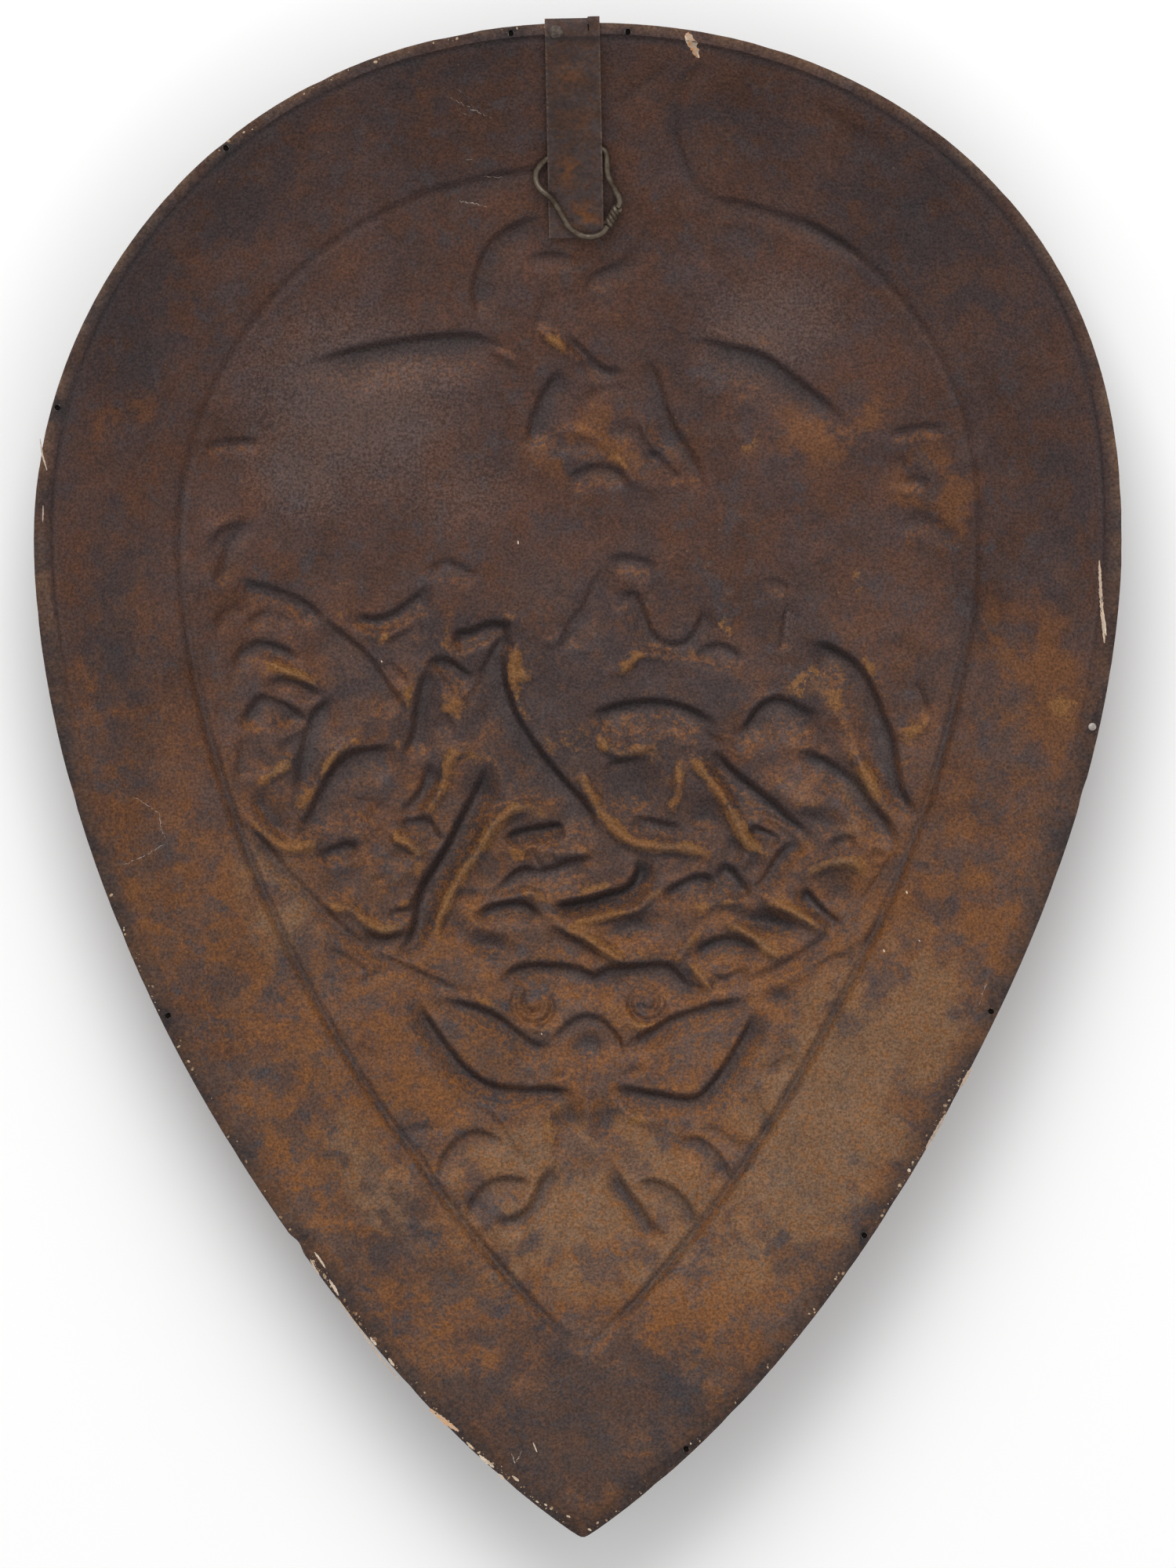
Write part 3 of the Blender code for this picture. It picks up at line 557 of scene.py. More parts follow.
# The band turns up beside the strap and curls over.
CROWN_SCROLL = (
    Fold((60, 200, 48, 195, 42, 186, 41, 173, 44, 163, 49, 150, 57, 145), 2.4, 6, 3.4, 0.3),
    Fold((50, 148, 57, 145, 68, 143, 80, 140, 96, 134, 110, 127, 124, 118), 2.6, 8, 3.6, 0.2),
    Fold((12, 184, 20, 187, 28, 193, 40, 203), 3, 9, 2.0),
    Fold((96, 186, 108, 180, 120, 172, 136, 168), 3, 12, 1.4),
    Fold((-128, 178, -112, 184, -96, 186), 3, 12, 1.4),
    Fold((-62, 148, -48, 150, -32, 154, -18, 158), 3, 9, 1.6),
)

# A winged figure in a blown robe, high in the medallion.
FLYING_FIGURE = (
    Fold((-40, 92, -43, 106, -40, 119, -35, 127, -26, 133, -12, 138), 3.4, 20, 3.0),
    Fold((3, 104, 6, 111, 13, 115, 21, 119, 27, 129, 33, 139), 3, 10, 2.2),
    Fold((-24, 119, -15, 121, -8, 121, 0, 119), 2.6, 8, 2.2),
    Fold((-17, 90, -16, 98, -12, 107), 3, 7, 1.6),
    Fold((-6, 88, 0, 82, 6, 76, 13, 72, 21, 73), 3, 8, 2.8),
    Fold((-20, 38, -19, 49, -15, 60, -10, 68, -4, 74), 3.4, 14, 3.4),
    Fold((0, 58, 6, 63, 14, 66, 22, 64), 2.4, 6, 1.4),
    Fold((25, 83, 30, 75, 34, 66, 37, 56, 41, 46, 48, 36, 55, 19), 3, 12, 2.6),
    Fold((27, 35, 33, 37, 38, 33, 45, 25), 2.6, 7, 2.4),
    Fold((-6, 24, 3, 30, 13, 31, 22, 25), 3, 10, 2.2),
    Bowl((18, 47), (14, 6), 0, 1.4),
    Fold((-122, 72, -95, 80, -75, 84, -58, 86, -44, 86, -34, 82, -25, 76), 3.2, 24, 3.8, 0.3),
    Fold((40, 83, 52, 84, 68, 81, 80, 77, 92, 68, 106, 57, 119, 46), 3.2, 24, 3.8, 0.3),
)

# Short bands that tie the medallion to the border.
SIDE_BANDS = (
    Fold((-159, 40, -147, 42, -133, 42), 2.6, 6, 2.8),
    Fold((131, 45, 144, 48, 158, 48), 2.6, 6, 2.8),
    Fold((134, 22, 134, 33, 141, 34), 2.4, 6, 1.8),
    Fold((136, 24, 142, 26, 150, 25), 2.6, 6, 2.4),
    Fold((134, 4, 146, 9, 162, -1), 5, 9, 2.2),
    Fold((-156, -6, -150, 4, -136, 6), 4, 10, 2.0),
)

# A horse that goes down at the left, with its rider behind its neck.
FALLEN_RIDER = (
    Fold((-155, -19, -150, -10, -148, 0, -140, 6), 3, 9, 2.4),
    Fold((-147, -16, -138, -19, -130, -21, -116, -27, -106, -36), 3.4, 12, 3.6),
    Fold((-112, -31, -98, -42, -91, -48, -86, -54, -80, -63, -72, -75), 3.2, 24, 3.4),
    Fold((-155, -40, -149, -30, -140, -27, -134, -29), 3, 8, 2.0),
    Fold((-142, -36, -137, -32, -129, -30, -119, -36), 2.4, 9, 2.4),
    Fold((-144, -57, -143, -48, -135, -44, -124, -47, -116, -53), 3.4, 9, 3.4),
    Fold((-135, -62, -127, -60, -118, -60, -108, -67), 3.2, 9, 3.0),
    Fold((-97, -29, -92, -33, -83, -33, -76, -30, -68, -24, -61, -18), 3.2, 10, 4.0),
    Fold((-64, -14, -56, -9, -49, -12, -41, -15), 3, 10, 2.2),
    Fold((-82, -43, -74, -39, -65, -33), 2.6, 7, 1.8),
    Fold((-82, -50, -78, -54, -72, -61), 2.6, 7, 1.8),
    Fold((-144, -80, -139, -73, -134, -67, -129, -68, -122, -72, -113, -78), 3.4, 13, 4.2),
    Fold((-128, -88, -121, -83, -113, -79), 2.4, 8, 2.4),
    Fold((-118, -110, -117, -94, -114, -80, -109, -71, -99, -67), 3.4, 13, 4.0),
    Fold((-143, -102, -143, -92, -141, -82), 3, 8, 2.2),
    Fold((-120, -127, -113, -117, -108, -107, -103, -98, -95, -91, -82, -89, -73, -91), 3.6, 20, 5.0),
    Fold((-107, -113, -98, -110, -88, -110, -79, -115), 2.4, 13, 1.8),
    Fold((-76, -116, -70, -111, -65, -103, -63, -93), 3, 8, 3.2),
    Fold((-111, -134, -104, -131, -98, -129, -92, -131), 2.8, 11, 4.0),
    Fold((-77, -122, -71, -119, -64, -119, -60, -125, -56, -128), 3, 9, 3.4),
    Fold((-121, -125, -128, -121, -133, -115, -138, -106), 3.2, 9, 3.4),
    Fold((-92, -166, -84, -169, -77, -168, -69, -166), 3, 9, 3.8),
    Fold((-81, -159, -75, -157, -68, -157), 2.4, 5, 2.4),
    Bowl((-75, -133), (6, 5), 0, 2.4),
    Bowl((-100, -144), (12, 10), 20, 3.0),
    Bowl((-83, -143), (6, 3), 20, 1.8),
)

# A man who strides over the fallen, one arm raised and his cloak behind him.
STRIDING_WARRIOR = (
    Fold((-54, -40, -45, -39, -37, -36, -28, -37), 3.4, 10, 5.2, 0.16),
    Fold((-43, -59, -39, -53, -34, -44, -29, -38), 3.6, 7, 4.6),
    Fold((-64, -55, -60, -51, -54, -52, -48, -56, -41, -58), 3.2, 14, 4.6),
    Fold((-74, -93, -69, -82, -67, -70, -65, -60, -60, -51), 3.4, 12, 4.4),
    Fold((-49, -69, -43, -62, -40, -56), 3, 7, 2.8),
    Fold((-66, -80, -60, -77, -54, -73), 3, 9, 2.2),
    Fold((-31, -39, -33, -50, -32, -61, -28, -73, -21, -84, -13, -95, -5, -104, 2, -112, 6, -119, 8,
         -128), 3.2, 22, 5.0, 0.16),
    Fold((-80, -177, -72, -171, -68, -163, -67, -155, -64, -146, -59, -138, -54, -130, -49, -120, -44,
         -110, -40, -102, -35, -93), 4.2, 11, 6.4, 0.14),
    Bowl((-41, -107), (9, 14), 60, 2.4),
)

# Men who lie under the fight, limbs across each other.
FALLEN_MEN = (
    Fold((-32, -128, -25, -124, -15, -122, -3, -120), 3.6, 8, 6.0),
    Bowl((-24, -120), (12, 5), 8, 1.6),
    Fold((-39, -153, -31, -145, -24, -140, -14, -140, -4, -137, 9, -134), 3, 12, 4.0),
    Fold((-20, -129, -18, -135, -14, -139), 2.4, 6, 2.4),
    Fold((-13, -156, 0, -154, 12, -151, 21, -148, 26, -142, 28, -132), 3.6, 8, 5.8, 0.18),
    Fold((-45, -161, -37, -156, -28, -154, -22, -155, -15, -161), 3.2, 10, 4.8),
    Bowl((-45, -151), (10, 5), 0, 3.0),
    Bowl((-36, -142), (13, 10), 30, 2.6),
    Bowl((-38, -171), (17, 8), -14, 5.0),
    Bowl((-51, -165), (12, 9), -30, 2.6),
    Bowl((23, -164), (19, 9), 8, 4.4),
    Fold((-14, -163, -6, -167, 3, -172, 11, -178), 3, 11, 2.8),
    Fold((35, -151, 44, -146, 52, -143, 60, -145), 3.2, 10, 4.2),
    Fold((60, -136, 66, -142, 73, -151), 3.2, 9, 4.0),
    Fold((94, -146, 99, -152, 105, -158, 113, -164), 3.4, 8, 4.6),
    Bowl((111, -149), (14, 13), 0, 4.0),
    Bowl((82, -162), (20, 7), -12, 5.4),
    Fold((49, -178, 54, -172, 62, -169, 70, -170, 78, -174), 3, 11, 4.0),
    Fold((56, -184, 61, -186, 66, -184, 73, -181), 2.6, 6, 2.6),
    Volute((63, -178), 7.5, 1.8, 1.2, 1),
    Bowl((45, -186), (9, 8), 0, 2.4),
)

# A horse and its shield bearer at the right.
REARING_HORSE = (
    Fold((2, -77, 10, -73, 20, -70, 32, -69, 44, -71, 54, -76, 62, -81), 3.4, 15, 5.2),
    Fold((8, -78, 17, -75, 24, -80), 2.4, 6, 2.2),
    Fold((46, -79, 54, -81, 62, -87), 2.6, 8, 2.2),
    Fold((65, -82, 72, -79, 77, -72, 83, -68, 89, -69, 97, -73, 106, -74), 3.4, 18, 5.0),
    Bowl((23, -105), (20, 16), 0, 4.6),
    Fold((10, -96, 20, -94, 31, -93), 2.6, 8, 2.0),
    Fold((22, -119, 28, -118, 38, -121, 45, -121), 2.8, 8, 2.6),
    Fold((54, -85, 62, -95, 70, -102, 80, -110, 90, -119, 104, -127), 3.4, 13, 5.0),
    Bowl((54, -117), (11, 10), 0, 3.4),
    Bowl((66, -131), (6, 7), 0, 2.4),
    Fold((72, -121, 79, -123, 87, -127), 2.8, 8, 4.2),
    Fold((75, -149, 80, -142, 84, -136, 89, -130, 97, -125), 3.2, 9, 4.0),
    Bowl((76, -138), (7, 7), 0, 2.2),
    Fold((94, -45, 103, -45, 112, -49, 119, -55, 124, -64, 128, -74, 132, -84, 134, -96, 137, -108, 145,
         -118), 3.4, 17, 5.6, 0.14),
    Fold((88, -90, 100, -92, 108, -96, 117, -103, 123, -112, 130, -120, 136, -133), 4.2, 13, 5.2),
    Bowl((112, -97), (14, 7), -35, 2.2),
    Fold((104, -92, 104, -83, 109, -74), 3, 8, 2.2),
    Bowl((104, -119), (18, 8), -14, 3.4),
    Fold((107, -129, 112, -126, 118, -127), 2.6, 7, 3.0),
    Bowl((127, -133), (4, 4), 0, 2.2),
    Fold((120, -133, 124, -137, 130, -139), 2.4, 6, 1.8),
    Fold((143, -59, 146, -67, 149, -74), 2.6, 8, 1.8),
    Fold((86, -48, 88, -36, 90, -25), 2.4, 6, 2.2),
    Fold((-8, -47, -5, -38, -1, -32, 3, -28, 5, -21, 8, -16, 12, -8), 2.2, 16, 2.0),
    Fold((12, -9, 18, -7, 26, -8, 35, -11), 2.4, 11, 2.6),
    Fold((15, -19, 20, -23, 24, -23, 27, -29, 30, -37, 34, -42, 40, -44), 2.6, 10, 3.0),
    Fold((32, -41, 39, -44, 46, -43, 51, -37, 56, -27), 2.8, 9, 2.8),
    Fold((48, -49, 56, -45, 64, -46, 70, -52), 3, 12, 2.8),
    Fold((78, -18, 84, -17, 90, -21), 2.4, 7, 1.6),
)

# The lower edge of the medallion, a double band that ends at the bracket.
MEDALLION_EDGE = (
    Fold((-148, -108, -138, -122, -126, -137, -112, -152, -100, -164, -86, -174, -70, -182, -52, -190,
         -36, -192), 2.8, 6, 3.2),
    Fold((60, -191, 76, -185, 90, -178, 102, -170, 114, -159, 125, -146, 134, -133, 141, -118), 2.8, 6,
         3.2),
    Fold((-108, -171, -98, -177, -88, -183), 2.4, 5, 2.4),
    Fold((-99, -188, -89, -185, -80, -181, -70, -184), 2.6, 6, 2.0),
    Fold((98, -184, 108, -177, 119, -176), 2.6, 7, 2.4),
    Fold((79, -195, 101, -184, 122, -169, 140, -151), 2.6, 5, 1.6),
)

# The bracket with two volutes under the medallion.
BRACKET = (
    Fold((-33, -191, -29, -184, -22, -181, -8, -181, 0, -182, 7, -185, 14, -182, 28, -181, 38, -181, 46,
         -188, 57, -191), 3.2, 16, 5.4, 0.14),
    Volute((-18, -196), 12.5, 2.6, 2.6, -1),
    Volute((29, -195), 12, 2.6, 2.6, 1),
    Bowl((85, -193), (10, 6), 10, 3.6),
    Bowl((-58, -197), (7, 4), 0, 2.4),
)

# A calm mask between two wings that hangs below the bracket.
WINGED_MASK = (
    Fold((-62, -195, -48, -197, -35, -202, -27, -208, -18, -214, -6, -214), 2.8, 10, 4.2),
    Fold((17, -217, 28, -210, 38, -204, 48, -200, 60, -197, 75, -195), 2.8, 10, 4.4),
    Fold((-70, -192, -66, -200, -61, -208, -55, -216, -48, -224, -38, -231, -24, -233, -12, -233, 2,
         -236), 3, 10, 5.4, 0.16),
    Fold((10, -236, 18, -233, 32, -235, 48, -237, 56, -232, 64, -221, 72, -208, 78, -196), 3, 10, 5.0,
         0.16),
    Bowl((5, -213), (16, 13), 0, 5.6),
    Fold((-11, -213, -5, -206, 3, -202, 10, -204, 17, -212, 20, -221), 2.6, 9, 4.0),
    Bowl((-20, -228), (4, 4), 0, 2.0),
    Bowl((-9, -226), (4, 2.6), 0, 1.6),
    Bowl((24, -225), (7, 3.4), 15, 2.2),
    Bowl((-4, -243), (8, 12), 12, 4.0),
    Bowl((12, -244), (8, 13), -12, 4.0),
    Bowl((64, -229), (8, 3), 40, 1.8),
)

# Scrolls and straps that fill the point.
LOWER_SCROLLS = (
    Fold((-60, -272, -56, -261, -50, -254, -42, -251, -34, -254, -29, -261), 2.8, 15, 3.8),
    Fold((-48, -288, -43, -278, -36, -272, -27, -271, -17, -274), 2.8, 12, 3.8),
    Fold((-38, -288, -28, -288, -20, -283, -15, -273, -8, -262), 3.4, 9, 4.6),
    Fold((14, -264, 18, -273, 25, -282, 30, -290, 37, -296), 3.4, 9, 4.6),
    Fold((22, -276, 30, -272, 39, -275, 47, -283, 51, -293), 2.8, 13, 3.6),
    Fold((38, -257, 45, -254, 53, -255, 60, -262, 65, -273), 2.8, 15, 3.8),
    Fold((50, -250, 57, -249, 63, -253, 69, -256, 76, -252), 2.6, 8, 2.2),
    Fold((-54, -231, -44, -239, -35, -245, -28, -256, -19, -268), 2.2, 7, 2.0),
    Fold((38, -257, 48, -246, 58, -236, 68, -228), 2.2, 7, 1.8),
    Fold((-96, -212, -89, -216, -82, -221), 2.6, 8, 1.6),
    Fold((-78, -250, -68, -249, -56, -248), 2.6, 7, 2.2),
    Fold((75, -225, 84, -222, 93, -218), 2.6, 7, 1.8),
    Fold((73, -232, 78, -242, 83, -252), 2.6, 8, 1.8),
)

# Ridges that stand up between the hollows.
CRESTS = tuple(crest(*row) for row in (
    ((-158, 1, -151, 7, -140, 11), 4, 1.2),
    ((-135, -49, -125, -54, -116, -59, -105, -65), 4, 2.2),
    ((-127, -86, -120, -82, -112, -79), 2.6, 1.2),
    ((-118, -112, -112, -103, -107, -96, -101, -88, -92, -84), 3.6, 1.6),
    ((-137, -106, -132, -100, -126, -97, -120, -90), 4, 2.0),
    ((-146, -110, -140, -118, -132, -125, -122, -130, -113, -128, -105, -121), 4.4, 2.2),
    ((-104, -122, -96, -125, -88, -126), 3.4, 1.0),
    ((-72, -118, -64, -113, -58, -105, -56, -96, -52, -90, -46, -89, -40, -93), 4, 2.2),
    ((-79, -120, -77, -126, -71, -129, -64, -135), 3.6, 1.8),
    ((-108, -150, -103, -155, -96, -156, -90, -161, -82, -165, -71, -163), 4.4, 2.4),
    ((-84, -147, -77, -143, -70, -138), 3, 1.0),
    ((-78, -156, -73, -153, -68, -147), 2.6, 1.2),
    ((-68, -179, -63, -168, -58, -157, -54, -149, -50, -141, -43, -132, -37, -122, -30, -115, -22,
      -112, -14, -114, -6, -119), 4.8, 2.6),
    ((-29, -129, -24, -133, -19, -138), 3, 1.2),
    ((-16, -131, -5, -132, 8, -131), 4, 2.0),
    ((-37, -153, -27, -150, -20, -149, -13, -153), 3.4, 1.8),
    ((-12, -154, -2, -151, 8, -149, 18, -145), 3.4, 1.6),
    ((-8, -161, 5, -160, 16, -158, 25, -156, 32, -150, 41, -147), 3.8, 2.2),
    ((-14, -161, -6, -165, 3, -168, 11, -173, 20, -178, 29, -178), 4.6, 2.8),
    ((38, -180, 43, -176, 47, -170, 54, -163), 4, 2.0),
    ((50, -162, 53, -156, 60, -153, 72, -152), 4, 2.0),
    ((9, -112, 15, -121, 22, -127, 32, -129, 44, -130, 53, -132, 61, -139), 5, 2.8),
    ((0, -97, 5, -106, 10, -113), 4, 1.8),
    ((7, -82, 12, -87, 18, -90, 26, -88, 34, -86), 4, 2.2),
    ((44, -90, 43, -100, 41, -110, 37, -118), 4, 1.6),
    ((42, -90, 50, -94, 57, -101, 63, -110, 67, -119, 72, -128, 81, -133), 5, 2.8),
    ((74, -116, 81, -117, 88, -121, 96, -126), 3, 1.8),
    ((64, -136, 69, -137, 73, -133), 3, 1.2),
    ((92, -144, 100, -139, 108, -136, 117, -136, 128, -141), 4.6, 2.4),
    ((76, -151, 84, -154, 91, -157, 99, -161, 109, -165), 4.6, 2.6),
    ((60, -160, 70, -165, 78, -171, 84, -175, 90, -173), 4.2, 2.4),
    ((46, -177, 51, -184, 58, -190), 3.4, 1.6),
    ((113, -85, 120, -94, 126, -104, 131, -112, 139, -120), 5.4, 2.6),
    ((82, -96, 87, -105, 97, -112, 107, -108), 7, 1.6),
    ((134, -84, 143, -80, 151, -75), 4, 1.4),
    ((-28, -55, -24, -57, -18, -58), 3, 1.2),
    ((-25, -41, -27, -50, -27, -62, -22, -76), 3.4, 1.4),
    ((-33, -32, -27, -33, -22, -38), 3.4, 1.2),
    ((-15, -44, -9, -42, -4, -36), 3, 1.2),
    ((11, -57, 19, -54, 26, -48, 34, -48, 46, -50), 3.8, 1.8),
    ((-98, -35, -90, -39, -80, -39, -70, -34), 3.8, 1.6),
    ((-18, 90, -11, 86, -3, 80, 5, 73), 4, 2.4),
    ((-40, 83, -31, 79, -23, 73), 3, 1.4),
    ((-14, 42, -4, 47, 8, 44, 17, 36, 24, 26, 36, 20), 4, 1.6),
    ((24, 56, 29, 46, 36, 36, 44, 28), 3, 1.6),
    ((-12, 37, 0, 35, 11, 36, 22, 33), 7, 1.2),
    ((66, 37, 72, 41, 66, 47, 67, 54, 71, 59, 78, 57), 2.6, 0.9),
    ((20, 118, 25, 126, 30, 138), 4, 1.2),
    ((-13, -238, -12, -248, -11, -259), 4, 1.4),
    ((18, -242, 28, -245, 40, -245), 4, 1.4),
    ((4, -229, 4, -238, 4, -250), 4, 1.2),
    ((-24, -202, -12, -208, -2, -203), 3.4, 1.2),
    ((18, -203, 28, -206, 38, -202), 3.4, 1.2),
    ((-45, -193, -36, -197, -30, -203), 3.4, 1.2),
))

# Every group of hollows, with how deep it is pressed
PRESSED = (
    (0.55, CROWN_SCROLL), (0.95, FLYING_FIGURE), (0.70, SIDE_BANDS), (0.82, FALLEN_RIDER),
    (0.88, STRIDING_WARRIOR), (0.88, FALLEN_MEN), (0.86, REARING_HORSE), (0.66, MEDALLION_EDGE),
    (0.80, BRACKET), (0.78, WINGED_MASK), (0.66, LOWER_SCROLLS),
)


@dataclass(frozen=True)
class Relief:
    """The carving of the plate, pressed towards the front, so that its figures are hollows here.

    All its sizes are parts of the carving, counted from the middle of the widest line."""

    border_inset: float = 61.6
    border_channel: float = 3.2
    border_depth: float = 1.7
    border_shoulder: float = 9.0
    shoulder_depth: float = 0.7
    border_gap_centre: float = 40.0
    border_gap: float = 47.0
    border_gap_fade: float = 14.0
    border_end: float = -348.0
    border_end_fade: float = 26.0
    crown_border: float = 0.70
    side_border: float = 1.35
    sides: tuple = (20.0, 110.0)
    crowd_centre: tuple = (6, -31)
    crowd_radius: float = 156
    crowd_fade: float = 16
    crowd_low: tuple = (-10.0, 60.0)
    crowd_least: float = 0.3
    lump_size: float = 24.0
    lump_depth: float = 0.9
    dimple_size: float = 9.0
    dimple_depth: float = 0.35
    field_edge: float = 7.0
    grid_step: float = 0.5
    edge_step: float = 2.0
    softness: float = 0.5

    def border(self, parts: Array, edge: Array) -> Array:
        """The raised band that follows the outline, open behind the strap and at the point.

        Args:
            parts: Rows of X and Y.
            edge: Distance of each point from the outline.

        Returns:
            One depth for each point.
        """
        channel = smooth(1.0 - np.abs(edge - self.border_inset) / self.border_channel)
        middle = self.border_inset + self.border_shoulder / 2
        shoulder = smooth(1.0 - np.abs(edge - middle) / self.border_shoulder)
        off_gap = np.abs(parts[:, 0] - self.border_gap_centre) - self.border_gap
        closed = np.where(parts[:, 1] > 0, smooth(off_gap / self.border_gap_fade), 1.0)
        fade = eased(parts[:, 1], self.border_end, self.border_end_fade)
        strength = self.crown_border + (self.side_border - self.crown_border) * below(parts, *self.sides)
        return (self.border_depth * channel + self.shoulder_depth * shoulder) * fade * closed * strength

    def crowd(self, parts: Array) -> Array:
        """Uneven ground between the figures, where the fight is thickest.

        Args:
            parts: Rows of X and Y.

        Returns:
            One depth for each point.
        """
        away = np.hypot(*(parts - self.crowd_centre).T)
        inside = smooth((self.crowd_radius - away) / self.crowd_fade)
        strength = self.crowd_least + (1.0 - self.crowd_least) * below(parts, *self.crowd_low)
        lumps = self.lump_depth * rough_noise(parts, self.lump_size, 43, 1)
        return (lumps + self.dimple_depth * rough_noise(parts, self.dimple_size, 44)) * inside * strength

    @staticmethod
    def pile(places: Array, strokes: list, pressed: float = 1.0) -> Array:
        """Cubes of the depths of some hollows, added up, so that the deeper one wins.

        Args:
            places: The grid's points.
            strokes: Hollows or ridges.
            pressed: Factor on their depths.

        Returns:
            One sum for each point of the grid.
        """
        total = np.zeros(places.shape[:2])
        step = places[0, 1, 0] - places[0, 0, 0]
        for stroke in strokes:
            middle, half = stroke.reach()
            first = np.maximum(np.floor((middle - half - places[0, 0]) / step).astype(int), 0)
            last = np.ceil((middle + half - places[0, 0]) / step).astype(int)
            window = (slice(first[1], last[1]), slice(first[0], last[0]))
            here = places[window]
            total[window] += (pressed * stroke.depth_at(here.reshape(-1, 2)).reshape(here.shape[:2])) ** 3
        return total

    def field(self, edge: Field) -> Field:
        """Depth of the carving below the plain dish, in parts.

        Args:
            edge: Distance from the outline, in parts.

        Returns:
            The depth over the whole plate.
        """
        places = Field.places(self.grid_step)
        parts = places.reshape(-1, 2)
        pressed = np.cbrt(sum(self.pile(places, strokes, factor) for factor, strokes in PRESSED))
        raised = np.cbrt(self.pile(places, CRESTS))
        distance = edge.at(parts)
        ground = (self.crowd(parts) + self.border(parts, distance)).reshape(places.shape[:2])
        inside = smooth(distance / self.field_edge - 1.0).reshape(places.shape[:2])
        return Field((pressed - raised + ground) * inside, self.grid_step).blurred(self.softness)


class Sketch:
    """Adds nodes to a shader or geometry tree and links them as it goes."""

    def __init__(self, tree: NodeTree) -> None:
        """Work on one tree."""
        self.tree = tree

    def feed(self, socket: NodeSocket, value: object) -> None:
        """Link another socket to a socket, or else set its value."""
        if isinstance(value, NodeSocket):
            self.tree.links.new(value, socket)
        else:
            socket.default_value = value

    def add(self, kind: str, inputs: dict | None = None, **settings: object) -> Node:
        """Add a node.

        Args:
            kind: Blender's name of the node type.
            inputs: Socket name or number, and the value or the socket that feeds it.
            settings: Properties of the node itself.

        Returns:
            The new node.
        """
        node = self.tree.nodes.new(kind)
        for key, value in settings.items():
            setattr(node, key, value)
        for key, value in (inputs or {}).items():
            self.feed(node.inputs[key], value)
        return node

    def math(self, operation: str, a: Number, b: Number = 0.0, clamp: bool = False) -> NodeSocket:
        """One sum of two values."""
        return self.add("ShaderNodeMath", {0: a, 1: b}, operation=operation, use_clamp=clamp).outputs[0]

    def between(self, value: NodeSocket, low: float, high: float) -> NodeSocket:
        """A value from 0 to 1, stretched to run from low to high."""
        return self.math("ADD", low, self.math("MULTIPLY", value, high - low))

    def ramp(self, value: NodeSocket, low: Number, high: Number, top: float = 1.0) -> NodeSocket:
        """Ease a value from 0 at low to top at high."""
        inputs = {"Value": value, "From Min": low, "From Max": high, "To Max": top}
        return self.add("ShaderNodeMapRange", inputs, interpolation_type="SMOOTHSTEP").outputs[0]

    def noise(self, place: NodeSocket, size: Number, **more: Number) -> NodeSocket:
        """Cloudy noise with lumps of about one size."""
        inputs = {"Vector": place, "Scale": self.math("DIVIDE", 1.0, size), **more}
        return self.add("ShaderNodeTexNoise", inputs).outputs[0]

    def scaled(self, vector: NodeSocket, value: Number) -> NodeSocket:
        """A colour or vector times a value."""
        return self.add("ShaderNodeVectorMath", {0: vector, "Scale": value}, operation="SCALE").outputs[0]


